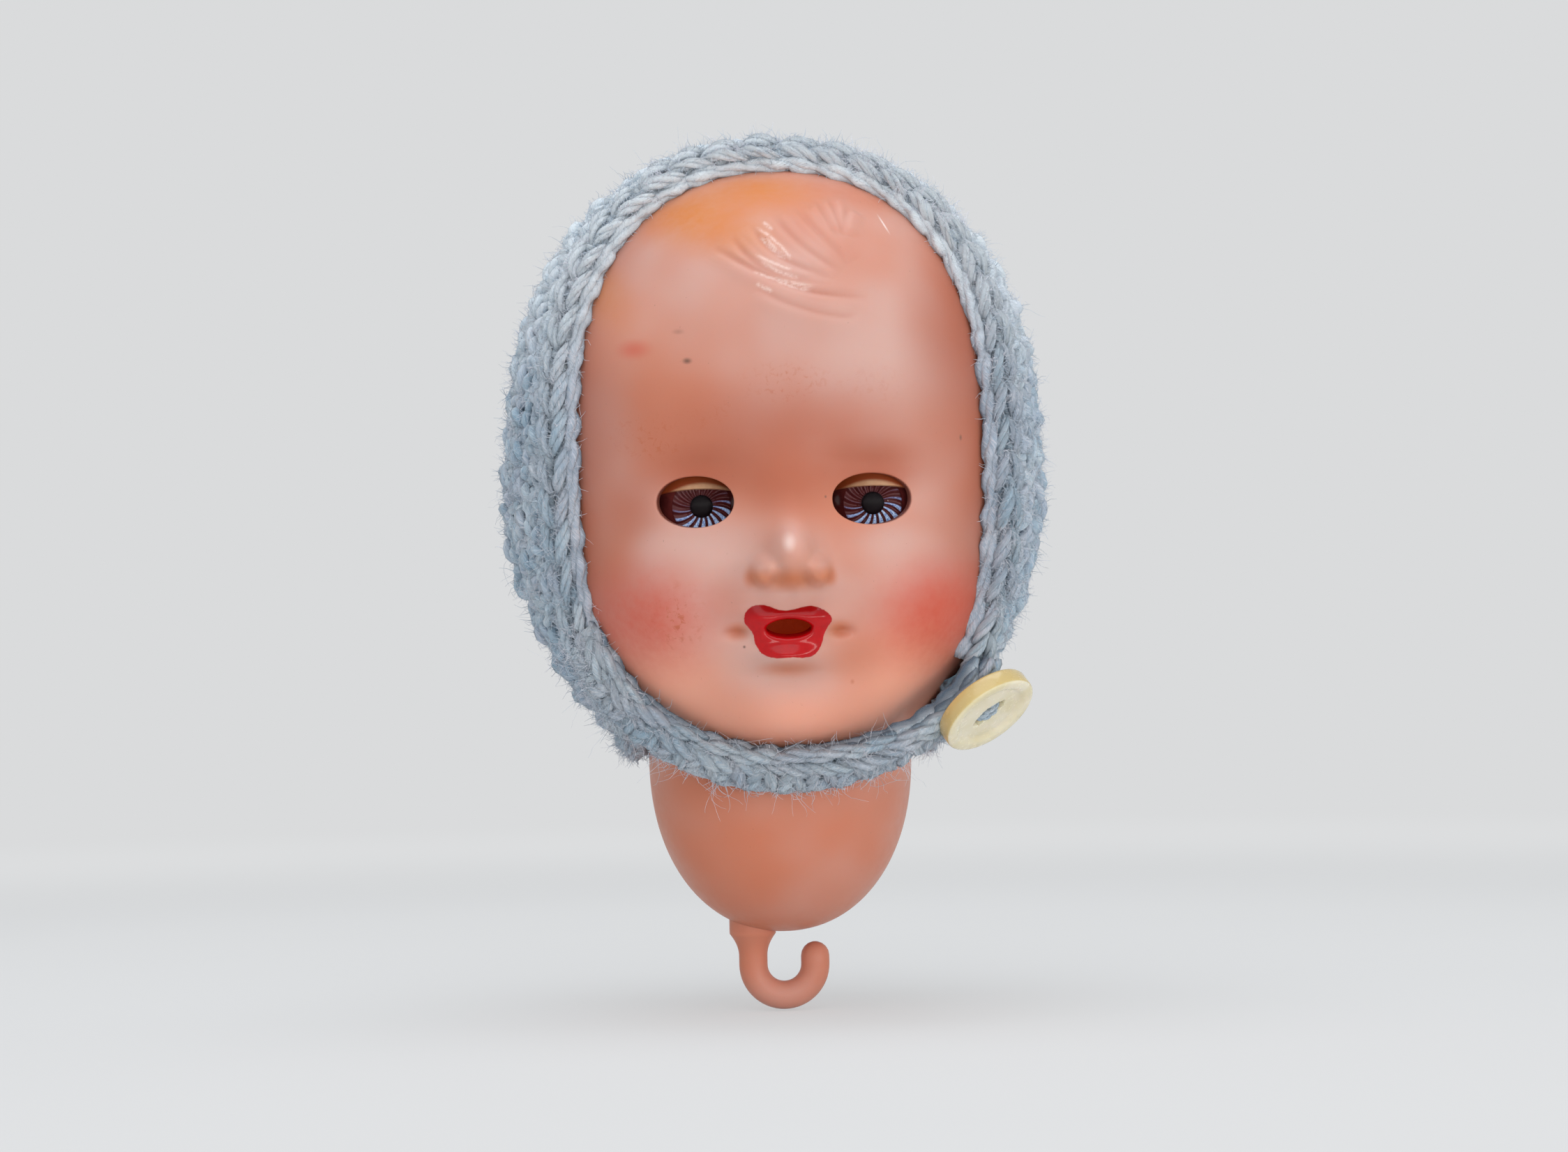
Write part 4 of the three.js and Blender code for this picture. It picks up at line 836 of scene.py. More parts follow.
# the bonnet's surface: the head's form grown outward, read by angle from the middle of the back
bonnetForm = {
    "centreHeight": 62.0,
    "inside": 0.95,
    "thickness": 0.8,
    "rows": 12,
    "pieceEnds": (6, 9, 12),
    "frontDegrees": 115.1,
    "frontWaveDegrees": 8.7,
    "frontLeanDegrees": 0.4,
    "hemFront": 36.5,
    "hemEar": 27.5,
    "hemNape": 29.5,
    "hemCornerDepth": 12.5,
    "hemEarDepth": 4.0,
    "stitchPitch": 4.1,
}


def reachToHead(toward):
    low = np.zeros(toward.shape[:-1])
    high = np.full(toward.shape[:-1], 64.0)
    centre = asArray([0, 0, bonnetForm["centreHeight"]])
    power = headForm["sectionPower"]
    for _ in range(28):
        middle = (low + high) / 2
        p = centre + toward * middle[..., None]
        z = np.clip(p[..., 2], headForm["neckBottom"] + 1e-3, headForm["top"] - 1e-4)
        side, front, back = sectionAt(z)
        depth = np.where(p[..., 1] < 0, front, back)
        value = (np.abs(p[..., 0]) / np.maximum(side, 1e-6)) ** power
        value = value + (np.abs(p[..., 1]) / np.maximum(depth, 1e-6)) ** power
        inside = (value < 1) & (p[..., 2] < headForm["top"]) & (p[..., 2] > headForm["neckBottom"])
        low = np.where(inside, middle, low)
        high = np.where(inside, high, middle)
    return low


def makeCap():
    fromBack = np.radians(np.linspace(0, 136, 137))
    fromTop = np.radians(np.linspace(-180, 180, 241))
    fb, ft = np.meshgrid(fromBack, fromTop, indexing="ij")
    toward = np.stack([np.sin(fb) * np.sin(ft), np.cos(fb), np.sin(fb) * np.cos(ft)], axis=-1)
    points = asArray([0, 0, bonnetForm["centreHeight"]]) + toward * reachToHead(toward)[..., None]
    down = np.gradient(points, axis=0)
    around = np.gradient(points, axis=1)
    around[:, 0] = around[:, -1] = points[:, 1] - points[:, -2]
    normals = unit(np.cross(around, down))
    normals[0] = (0, 1, 0)
    normals *= np.where((normals * toward).sum(axis=-1) < 0, -1, 1)[..., None]
    # the wool bridges small dents, so its normals are smoothed
    for _ in range(6):
        inner = normals[1:-1]
        beside = np.roll(inner, 1, 1) + np.roll(inner, -1, 1)
        normals[1:-1] = unit(inner + 0.5 * (normals[2:] + normals[:-2]) + 0.5 * beside)
    return fromBack, fromTop, points, normals


capBack, capTop, capPoints, capNormals = makeCap()


def capRead(fb, ft):
    ft = (ft + math.pi) % (2 * math.pi) - math.pi
    i = np.clip(fb / (capBack[1] - capBack[0]), 0, len(capBack) - 1.001)
    j = np.clip((ft + math.pi) / (capTop[1] - capTop[0]), 0, len(capTop) - 1.001)
    i0, j0 = i.astype(int), j.astype(int)
    u, v = (i - i0)[..., None], (j - j0)[..., None]
    made = []
    for grid in (capPoints, capNormals):
        low = grid[i0, j0] * (1 - u) + grid[i0 + 1, j0] * u
        high = grid[i0, j0 + 1] * (1 - u) + grid[i0 + 1, j0 + 1] * u
        made.append(low * (1 - v) + high * v)
    return made[0], unit(made[1])


def capLift(points, normals, offset):
    return points + normals * (offset + earRise(points, earForm["woolShare"]))[..., None]


def capPlace(fb, ft, offset):
    return capLift(*capRead(asArray(fb), asArray(ft)), offset)


def frontEdge(ft):
    b = bonnetForm
    wave = b["frontWaveDegrees"] * np.cos(2 * ft) + b["frontLeanDegrees"] * np.cos(ft)
    return np.radians(b["frontDegrees"] - wave)


def hemHeight(y):
    b = bonnetForm
    y = asArray(y)
    corner, ear = -b["hemCornerDepth"], -b["hemEarDepth"] / 2
    t = np.clip((y - corner) / (ear - corner), 0, 1)
    front = b["hemFront"] + (b["hemEar"] - b["hemFront"]) * (1 - (1 - t) ** 2)
    back = b["hemEar"] + (b["hemNape"] - b["hemEar"]) * (y - ear) / headForm["skullDepth"]
    return np.where(y < ear, front, back)


# places a stitch's own curve (along the row, across the rows, out of the fabric, all in mm) on the cap
def onCap(fb0, ft0, along, across, out):
    step = 0.01
    here, _ = capRead(asArray(fb0), asArray(ft0))
    perTop = np.linalg.norm(capRead(asArray(fb0), asArray(ft0 + step))[0] - here) / step
    perBack = np.linalg.norm(capRead(asArray(fb0 + step), asArray(ft0))[0] - here) / step
    fb = np.abs(fb0 + across / perBack)
    ft = ft0 + along / max(perTop, 0.5)
    return capLift(*capRead(fb, ft), out)


random = np.random.default_rng(11)


def jitter(size, count=None):
    return random.normal(0, size, count)


# one leg of a stitch: a lens of yarn that rises between two hidden ends
def legShape(count, least=0.3):
    t = np.linspace(0, 1, count)
    return t, least + (1 - least) * np.sin(math.pi * np.clip(t, 0, 1)) ** 0.6

# a round of stitches: every stitch an oval of yarn about a small hole, with slanted lumps between neighbours
crochet = {
    "base": 1.6,
    "ringAlong": 1.18,
    "ringAcross": 1.5,
    "ringRadius": 0.98,
    "ringLay": 5.6,
    "ringRise": 0.45,
    "ringSteps": 19,
    "lumps": ((0.8, 0.5, 0.0), (-0.7, 0.0, 0.5), (0.3, 0.5, 0.5)),  # slant, shift along and across
    "lumpReach": 1.5,
    "lumpRadius": 0.98,
    "lumpLay": 5.0,
    "sides": 7,
    "rowEnd": 0.085,
}


def makeBonnetRows():
    b, c = bonnetForm, crochet
    rows = b["rows"]
    parts = 0
    strands = Strands()
    tops = np.linspace(-math.pi, math.pi, 721)
    for row in range(1, rows + 1):
        fb = (frontEdge(tops) - c["rowEnd"]) * (row - 0.42) / rows
        lengths = runLength(capRead(fb, tops)[0])
        count = max(int(round(lengths[-1] / b["stitchPitch"])), 5)
        pitch = lengths[-1] / count
        for stitch in range(count):
            at = (stitch + 0.5 * (row % 2)) / count * lengths[-1]
            ft0, fb0 = float(np.interp(at, lengths, tops)), float(np.interp(at, lengths, fb))
            place, normal = capRead(asArray(fb0), asArray(ft0))
            if place[2] < hemHeight(place[1]) + 1.8:
                continue
            rowStep = float((frontEdge(ft0) - c["rowEnd"]) / rows * 30)
            # each loop starts and ends under the next round
            turn = np.linspace(-0.3, 2 * math.pi + 0.3, c["ringSteps"]) - math.pi / 2 + jitter(0.3)
            ends = np.clip(np.minimum(turn - turn[0], turn[-1] - turn) / 0.7, 0, 1)
            wide = min(c["ringAlong"], pitch * 0.3) * (1 + jitter(0.13))
            tall = min(c["ringAcross"], rowStep * 0.34) * (1 + jitter(0.11))
            twist = jitter(0.3)
            bowed = 1 + 0.12 * np.sin(turn + jitter(2.0))
            x, y = bowed * wide * np.cos(turn), bowed * tall * np.sin(turn)
            along = x * math.cos(twist) - y * math.sin(twist) + jitter(0.2)
            across = x * math.sin(twist) + y * math.cos(twist) + jitter(0.18)
            out = c["ringRise"] * np.sin(turn + 0.9) + 0.16 * np.sin(2 * turn + jitter(1.0))
            out = out - 0.5 * (1 - ends) + jitter(0.12)
            swell = 1 + 0.12 * np.sin(2 * turn + jitter(2.0)) + jitter(0.07)
            thick = c["ringRadius"] * (0.62 + 0.38 * ends) * swell
            line = onCap(fb0, ft0, along, across, c["base"] + 0.45 + out)
            normals = np.broadcast_to(normal, line.shape)
            lay, phase = c["ringLay"], jitter(2.0)
            strands.addYarn(line, thick, 2, lay, c["sides"], phase, normals, out, random.uniform(0, 1))
            t, swell = legShape(6)
            for slant, shiftAlong, shiftAcross in c["lumps"]:
                lean = slant + jitter(0.35)
                reach = c["lumpReach"] * (1 + jitter(0.12)) * (t - 0.5) * 2
                along = shiftAlong * pitch + reach * math.cos(lean)
                across = shiftAcross * rowStep + reach * math.sin(lean)
                out = -0.25 + 0.5 * np.sin(math.pi * t)
                line = onCap(fb0, ft0, along, across, c["base"] + 0.42 + out)
                tone = random.uniform(0, 1)
                if (line[:, 2] < hemHeight(line[:, 1]) + 0.5).any():
                    continue
                normals = np.broadcast_to(normal, line.shape)
                thick = c["lumpRadius"] * swell
                strands.addYarn(line, thick, 2, c["lumpLay"], c["sides"], jitter(2.0), normals, out, tone)
        if row in b["pieceEnds"]:
            parts += 1
            strands.piece(f"bonnet_rounds_{parts}", rowYarn, "head", "bonnet_body")
            strands = Strands()


# the dense wool under the stitches, so that the fabric has no daylight in it; its darker blue is painted
# shade in the holes
def makeBonnetGround():
    rows, columns = 60, 150
    ft = np.linspace(-math.pi, math.pi, columns, endpoint=False)[None, :] * np.ones((rows, 1))
    fb = np.linspace(0.0, 1.0, rows)[:, None] * (frontEdge(ft) - 0.055)
    low = bonnetForm["inside"] + 0.05
    layers = [capPlace(fb, ft, low + bonnetForm["thickness"]), capPlace(fb, ft, low)]
    for layer in layers:
        layer[..., 2] = np.maximum(layer[..., 2], hemHeight(layer[..., 1]))
    base, _ = capRead(fb, ft)
    keep = base[..., 2] > hemHeight(base[..., 1]) - 0.4
    grid = gridFaces(rows, columns)
    faces = sheetFaces(grid[keep.ravel()[grid].all(axis=1)][:, ::-1], rows * columns)
    used = sorted({k for f in faces for k in f})
    remap = {k: i for i, k in enumerate(used)}
    points, faces = asArray(layers).reshape(-1, 3)[used], [[remap[k] for k in f] for f in faces]
    material = newMaterial("Wool ground, felted")
    fill(shader, {
        "Base Color": patches(1.2, 4, "#6f97b0", "#9dbacd"),
        "Roughness": 0.95,
        "Sheen Weight": 0.3,
        "Normal": grain(0.6, 4, 1.0, 0.3),
    })
    return makePiece("bonnet_ground", points, faces, material, "head", "bonnet_body")


# reads a line's place, direction, sideways direction and normal at lengths along it
def alongLine(line, normals):
    line, normals = asArray(line), unit(asArray(normals))
    gaps = np.concatenate([[0], np.cumsum(np.linalg.norm(np.diff(line, axis=0), axis=1))])

    def pick(values, s):
        return np.stack([np.interp(s, gaps, values[:, k]) for k in range(3)], axis=-1)

    def read(s):
        s = asArray(s)
        low, high = np.clip(s - 0.5, 0, gaps[-1]), np.clip(s + 0.5, 0, gaps[-1])
        ahead = unit(pick(line, high) - pick(line, low))
        over = s - np.clip(s, 0, gaps[-1])
        place = pick(line, s) + ahead * over[..., None]
        out = pick(normals, s)
        out = unit(out - ahead * (out * ahead).sum(axis=-1, keepdims=True))
        return place, ahead, np.cross(out, ahead), out

    return gaps[-1], read


# a chain of stitches: two legs to each, spreading in a V; sizes in mm
def chainOfLegs(strands, read, total, pitch, leg, spread, radius, lift=0.0, shift=0.0, bow=0.45):
    count = max(int(round(total / pitch)), 1)
    pitch = total / count
    t, swell = legShape(13)
    opening = 0.12 + 1.0 * np.sin(math.pi / 2 * np.clip(t * 1.15, 0, 1)) ** 1.2
    for i in range(-1, count + 1):
        for side in (-1, 1):
            start = (i + 0.02) * pitch + jitter(0.22)
            s = start + leg * t * (1 + jitter(0.05))
            across = side * spread * opening + jitter(0.16)
            height = lift + bow * (np.sin(math.pi * t**0.8) - 0.55) + jitter(0.14)
            place, _, cross, out = read(s)
            line = place + cross * (across + shift)[:, None] + out * height[:, None]
            thick = radius * swell * (1 + jitter(0.1))
            tone = random.uniform(0, 1)
            strands.addYarn(line, thick, 3, yarn["lay"], 5, jitter(2.0), out, height - lift, tone)


# a cord that swells and thins as if it were worked in lumps; with a lay it is twisted
def rollOfLumps(strands, read, total, pitch, radius, lift, shift, tone=0.8, swell=0.16, lay=0.0):
    s = np.linspace(0, total, max(int(total / pitch), 2) * 6 + 1)
    place, _, cross, out = read(s)
    uneven = 0.6 * np.sin(s * 0.9)
    lumps = 1 + swell * (np.cos(2 * math.pi * s / pitch + uneven) + 0.3 * np.sin(s * 3.7))
    wander = 0.12 * np.sin(s * 1.9 + 0.6)
    line = place + cross * (shift + wander)[:, None] + out * lift
    radii = radius * lumps * np.clip(np.minimum(s, total - s) / 1.2, 0.25, 1) ** 0.5
    low = np.full(len(s), -0.1)
    if lay:
        strands.addYarn(line, radii, 4, lay, 6, normals=out, heights=low, tone=tone)
    else:
        strands.add(line, radii, 8, normals=out, heights=low, tone=tone)


edgingForm = {
    "endDegrees": 141,
    "pitch": 4.1,
    "leg": 5.2,
    "spread": 1.2,
    "radius": 0.74,
    "roll": 0.95,
    "facing": 0.8,  # share of its own outward direction, the rest is toward the viewer
}


def makeEdging():
    strands = Strands()
    e = edgingForm
    ft = np.radians(np.linspace(-e["endDegrees"], e["endDegrees"], 300))
    base = capPlace(frontEdge(ft), ft, 0.0)
    middle = capPlace(frontEdge(ft) - 0.012, ft, bonnetForm["inside"] + 1.15)
    normals = unit(unit(middle - base) * e["facing"] + asArray([0, -0.62, 0]))
    total, read = alongLine(middle, normals)
    # which side of the line the face is on
    _, _, cross, _ = read(asArray([total / 2]))
    face = 1 if cross[0] @ asArray([0, -1, -0.6]) > 0 else -1
    pitch, roll = e["pitch"], e["roll"]
    chainOfLegs(strands, read, total, pitch, e["leg"], e["spread"], e["radius"], 0.6, -0.15 * face, 0.75)
    rollOfLumps(strands, read, total, pitch, roll * 1.02, -0.62, face * 1.5, 1.0, 0.2, 17.0)
    rollOfLumps(strands, read, total, 4.25, roll, -0.35, -face * 1.5, 0.4)
    rollOfLumps(strands, read, total, 3.1, roll, -0.75, face * 0.3, 0.4)
    return strands.piece("bonnet_edging_chain", edgeYarn, "head", "bonnet_edging")


# the hem, worked in small chains round the nape from corner to corner
def hemLine():
    found = []
    for ft in np.linspace(-math.pi + 0.02, math.pi - 0.02, 900):
        fb = np.linspace(0.2, float(frontEdge(ft)) - 0.05, 200)
        points = capPlace(fb, np.full_like(fb, ft), bonnetForm["inside"] + 1.2)
        above = points[:, 2] > hemHeight(points[:, 1])
        leaves, enters = np.nonzero(above[:-1] & ~above[1:])[0], np.nonzero(~above[:-1] & above[1:])[0]
        found += [points[k] for k in (*leaves[:1], *enters[-1:])]
    found = asArray(found)
    found = found[np.argsort(np.arctan2(found[:, 0], found[:, 1] + 2.0))]
    kept = [found[0]]
    for p in found[1:]:
        if np.linalg.norm(p - kept[-1]) > 0.8:
            kept.append(p)
    kept = asArray(kept)
    for _ in range(6):
        kept[1:-1] = (kept[:-2] + 2 * kept[1:-1] + kept[2:]) / 4
    return kept


strapForm = {
    "side": 24.8,
    "rise": 24.38,
    "chinDrop": 1.1,
    "thickness": 2.3,
    "startDegrees": 62,
    "endDegrees": 53,
    "endTab": 3.2,
    "buttonReach": 1.4,
    "throatLean": 18,
    "cornerLean": 35,
    "buttonLean": 60,
    "normalShare": 0.64,
    "neckGap": 0.6,
    "cornerDepth": 15.6,
    "leg": 7.6,
    "pitch": 4.2,
    "postPitch": 3.3,
    "posts": ((0.15, 0.9), (0.6, -0.6)),  # where each short post stands in its pitch, and how it leans
}


def strapShare(turn):
    share = np.minimum(np.abs(turn) / math.radians(strapForm["endDegrees"]), 1)
    return share * share * (3 - 2 * share)


def strapNormal(turn):
    s = strapForm
    side = np.where(turn > 0, s["buttonLean"], s["cornerLean"])
    lean = np.radians(s["throatLean"] + (side - s["throatLean"]) * strapShare(turn))
    around = turn * s["normalShare"]
    return np.stack([np.sin(around) * np.sin(lean), -np.cos(lean), -np.cos(around) * np.sin(lean)], axis=-1)


def strapPlace(turn):
    s = strapForm
    share = strapShare(turn)
    middleDepth = headForm["neckRadius"] + s["neckGap"] + s["thickness"] / 2
    depth = middleDepth + (s["cornerDepth"] - middleDepth) * share
    reach = np.where(turn > 0, s["buttonReach"] * share, 0)
    height = headForm["chin"] - s["chinDrop"] + s["rise"]
    x, z = (s["side"] + reach) * np.sin(turn), height - (s["rise"] + reach) * np.cos(turn)
    return np.stack([x, -depth, z], axis=-1)


def makeStrap():
    s = strapForm
    strands = Strands()
    start = -math.radians(s["startDegrees"] + 6)
    end = math.radians(s["endDegrees"]) + s["endTab"] / s["side"]
    turns = np.linspace(start, end, 240)
    line, normals = strapPlace(turns), strapNormal(turns)
    # the doll's right end runs up under the edging, so it narrows and sinks there
    line = line - normals * (1 - np.clip((turns - start) / 0.3, 0, 1))[:, None] * 0.9
    total, read = alongLine(line, normals)
    _, _, cross, _ = read(asArray([total / 2]))
    up = 1 if cross[0][2] > 0 else -1
    chainOfLegs(strands, read, total, s["pitch"], s["leg"], 0.85, 0.94, 0.6, up * 1.15, 0.6)
    # short posts from the chain to the strap's outer edge
    t, swell = legShape(8, 0.45)
    across = -up * (-0.7 + 3.0 * t)
    for i in range(int(total / s["postPitch"])):
        for part, lean in s["posts"]:
            at = (i + part + 0.2 + jitter(0.06)) * s["postPitch"]
            height = 0.1 + 0.75 * np.sin(math.pi * t) + jitter(0.1)
            place, _, cross, out = read(at + lean * (t - 0.5) * 2.0)
            path = place + cross * across[:, None] + out * height[:, None]
            thick, phase = 0.9 * swell * (1 + jitter(0.08)), jitter(2.0)
            strands.addYarn(path, thick, 3, 3.2, 5, phase, out, height - 0.2, random.uniform(0, 1))
    rollOfLumps(strands, read, total, s["postPitch"], 0.9, -0.35, -up * 1.8, 0.5)
    rollOfLumps(strands, read, total, 3.9, 0.9, -0.35, up * 2.0, 0.6)
    rollOfLumps(strands, read, total, 3.9, 1.1, -0.5, 0.0, 0.3)
    return strands.piece("strap_chain", strapYarn, "head", "chin_strap")


def makeHem():
    strands = Strands()
    line = hemLine()
    outward = unit(line - asArray([0, 2, 45]))
    total, read = alongLine(line + outward * 0.5, outward)
    chainOfLegs(strands, read, total, 4.2, 5.8, 0.9, 0.9, 0.3)
    rollOfLumps(strands, read, total, 4.2, 1.15, -0.2, 0.0, 0.5)
    for side in (1, -1):
        rollOfLumps(strands, read, total, 3.6, 0.95, -0.4, side, 0.5)
    return strands.piece("bonnet_hem", edgeYarn, "head", "bonnet_body")


print("crochet starts")
makeBonnetRows()
makeBonnetGround()
makeEdging()
makeStrap()
makeHem()

eyeParts = {
    "leftX": 9.9,
    "rightX": -9.3,
    "axle": (-16.689, 55.5),
    "ball": 6.0,
    "pocketRadius": 3.3,
    "pocketFloor": 4.3,
    "gazeDegrees": 4.5,
    "irisInner": 0.9,
    "irisRadius": 3.3,
    "irisFront": 4.85,
    "irisBack": 4.42,
    "flutes": 18,
    "fluteTwistDegrees": 14,
    "pupilRadius": 1.28,
    "pupilBack": 4.86,
    "domeRadius": 3.2,
    "domeWall": 0.35,
    "lidInner": 6.1,
    "lidOuter": 6.5,
    "lidHalfWidth": 5.2,
    "lidEdgeDegrees": 14.5,
    "lidWrapDegrees": 100,
}


# from the eye's own axes (x across, height, distance in front of the axle) to the row frame
def eyePlace(points, x):
    turn = math.radians(eyeParts["gazeDegrees"])
    y, z = -points[..., 2], points[..., 1]
    back = y * math.cos(turn) - z * math.sin(turn) + eyeParts["axle"][0]
    up = y * math.sin(turn) + z * math.cos(turn) + eyeParts["axle"][1]
    return np.stack([points[..., 0] + x, back, up], axis=-1)


def arc(radius, fromDegrees, toDegrees, count):
    turns = np.radians(np.linspace(fromDegrees, toDegrees, count))
    return [(radius * math.sin(t), radius * math.cos(t)) for t in turns]


# Eyeball: dark maroon cast plastic, polished, with faint streaks.
ballSkin = newMaterial("Cast plastic, maroon, polished")
fill(shader, {
    "Base Color": patches(1.6, 3, "#4c1c1c", "#602725"),
    "Roughness": 0.16,
    "Specular IOR Level": 0.4,
    "Normal": grain(0.8, 2, 0.15, 0.02),
})

# Iris: foil pressed into curved flutes, bright blue on the crests and maroon between them. The lower flutes
# and those toward the doll's left carry a painted reflection that makes their print paler; the rest take
# painted shade.
irisFoil = newMaterial("Pressed foil, fluted blue")
streak = add("noise", where, 1 / 0.14, 3, 0.6)
litFoil = add("mix", add("ramp", streak, 0.3, 0.62), "#3468bc", "#c8e0fa")
shadedFoil = add("mix", add("ramp", streak, 0.3, 0.75), "#34376c", "#5a76c0")
tone = add("mix", held("flute"), "#5a2223", add("mix", held("glow"), shadedFoil, litFoil))
fill(shader, {
    "Base Color": tone,
    # painted reflection: the flutes glow, standing in for the window that the polished foil throws back in
    # its recess
    "Emission Color": tone,
    "Emission Strength": add("times", held("flute"), 0.3),
    "Metallic": 0.15,
    "Roughness": 0.3,
    "Specular IOR Level": 0.35,
    "Normal": add("bump", streak, 0.25, 0.02 * mm),
})

# Pupil: black glass-like bead.
pupilSkin = newMaterial("Moulded plastic, black bead")
bead = patches(0.5, 3, "#070406", "#0d090e", 0.4, 0.7)
fill(shader, {"Base Color": bead, "Roughness": 0.45, "Specular IOR Level": 0.1})

# Lens: thin clear dome, a little scuffed.
lensSkin = newMaterial("Clear plastic dome")
scuffs = add("ramp", add("noise", where, 1 / 1.5, 2), 0.3, 0.8, 0.08, 0.16)
fill(shader, {"Base Color": "#3a2a30", "Roughness": scuffs, "Alpha": 0.04, "Specular IOR Level": 0.18})
lensSkin.surface_render_method = "BLENDED"

# Eyelid: matt flesh paint on the ball's cap, with a painted lit crescent at its edge and painted orange-brown
# shade above it.
lidSkin = newMaterial("Flesh paint on eyelid")
flesh = patches(1.4, 4, "#c08c66", "#cfa37e")
fill(shader, {
    "Base Color": add("mix", add("ramp", held("above"), 0.35, 0.85), flesh, "#8f3d18"),
    "Roughness": 0.45,
    "Subsurface Weight": 0.1,
    "Subsurface Scale": 1 * mm,
    "Normal": grain(0.5, 4, 0.3, 0.03),
})


def makeEye(name, x):
    e = eyeParts
    turns = 96

    # a turned part of the eye, from its profile: radius and distance in front of the axle
    def makeTurned(part, profile, material, node, sharp=None):
        angles = np.linspace(0, 2 * math.pi, turns, endpoint=False)
        rings = asArray([[(r * math.cos(a), r * math.sin(a), front) for a in angles] for r, front in profile])
        faces = gridFaces(len(profile), turns)[:, ::-1]
        placed, node = eyePlace(rings, x), f"{name}_{node}"
        makePiece(f"{name}_eye_{part}", placed, faces, material, "eyes", node, sharp)

    edge = math.degrees(math.asin(e["pocketRadius"] / e["ball"]))
    floor = e["pocketFloor"]
    profile = [(0.001, floor), (e["pocketRadius"], floor), *arc(e["ball"], edge, 122, 40)]
    profile += [*arc(e["ball"] - 1, 128, 20, 18), (0.001, floor - 1)]
    makeTurned("ball", profile, ballSkin, "eyeball", 40)
    # the iris is a dish of flutes that sweep round as they leave the pupil
    columns, rows = e["flutes"] * 22, 34
    radii = np.linspace(e["irisInner"], e["irisRadius"], rows)
    angles = np.linspace(0, 2 * math.pi, columns, endpoint=False)
    radius, angle = np.meshgrid(radii, angles, indexing="ij")
    share = (radius - e["irisInner"]) / (e["irisRadius"] - e["irisInner"])
    swept = angle - math.radians(e["fluteTwistDegrees"]) * share**1.6
    wave = 0.5 + 0.5 * np.cos(angle * e["flutes"])
    # painted reflection: the flutes shine below and toward the doll's left, and are lost at the top
    glow = np.clip(0.33 + 0.72 * np.cos(swept + math.radians(76)), 0, 1)
    least = 0.92 - 0.86 * glow**1.5 * (0.4 + 0.6 * share)
    ends = np.clip((1.02 - share) * (4 + 16 * glow), 0, 1) * np.clip(share * 10 + 0.3, 0, 1)
    shine = np.clip((wave - least) / 0.2, 0, 1) * np.clip(0.05 + 1.7 * glow, 0, 1) * ends
    height = e["irisFront"] - 0.18 + 0.17 * wave - 0.06 * share
    dish = np.stack([radius * np.cos(swept), radius * np.sin(swept), height], axis=-1)
    back = dish[-1:].copy()
    back[..., 2] = e["irisBack"]
    makePiece(
        f"{name}_eye_iris", eyePlace(np.concatenate([dish, back]), x), gridFaces(rows + 1, columns)[:, ::-1],
        irisFoil, "eyes", f"{name}_iris",
        shares={"flute": np.concatenate([shine, shine[-1:] * 0]), "glow": np.concatenate([glow, glow[-1:]])},
    )
    wide, low = e["pupilRadius"], e["pupilBack"]
    bead = [(wide * math.sin(t), 4.97 + 0.3 * math.cos(t)) for t in np.radians(np.linspace(12, 90, 10))]
    bead = [(0.001, 5.27), *bead, (wide, low), (0.001, low)]
    makeTurned("pupil", bead, pupilSkin, "pupil")
    ball, wide, wall = e["ball"], e["domeRadius"], e["domeWall"]
    edge = math.degrees(math.asin(wide / ball))
    dome = [(0.001, ball), *arc(ball, 2, edge, 16), (wide, 5.0), (wide - 0.3, 5.0)]
    dome += [(r, front - wall) for r, front in arc(ball, 26, 2, 10)] + [(0.001, ball - wall)]
    makeTurned("dome", dome, lensSkin, "lens", 40)
    # the lid: a strip of shell with a squared rim
    rows, columns = 40, 36
    turn = np.radians(e["lidEdgeDegrees"] + np.linspace(0, e["lidWrapDegrees"], rows))
    across = np.linspace(-e["lidHalfWidth"], e["lidHalfWidth"], columns)
    turn, across = np.meshgrid(turn, across, indexing="ij")
    layers = []
    for radius in (e["lidOuter"], e["lidInner"]):
        flat = np.sqrt(radius**2 - across**2)
        back, up = e["axle"][0] - flat * np.cos(turn), e["axle"][1] + flat * np.sin(turn)
        layers.append(np.stack([across + x, back, up], axis=-1))
    faces = sheetFaces(gridFaces(rows, columns, False), rows * columns)
    # painted light: the lid's edge is a narrow lit crescent, narrowest at the sides; above it the lid takes
    # painted shade
    above = (turn - turn[0]) * e["lidOuter"] + 0.06 * across**2
    makePiece(
        f"{name}_eye_lid", layers, faces, lidSkin, "eyes", f"{name}_eyelid", 40,
        {"above": np.tile(above.ravel(), 2)},
    )


makeEye("right", eyeParts["rightX"])
makeEye("left", eyeParts["leftX"])

# neck hook: one bent rod, flared where it leaves the plug
hookForm = {
    "rod": 1.65,
    "bend": 3.6,
    "tip": 0.9,
    "flare": 2.7,
    "flareHeight": 5.6,
    "flareReach": 2.6,
    "top": 9.5,
}


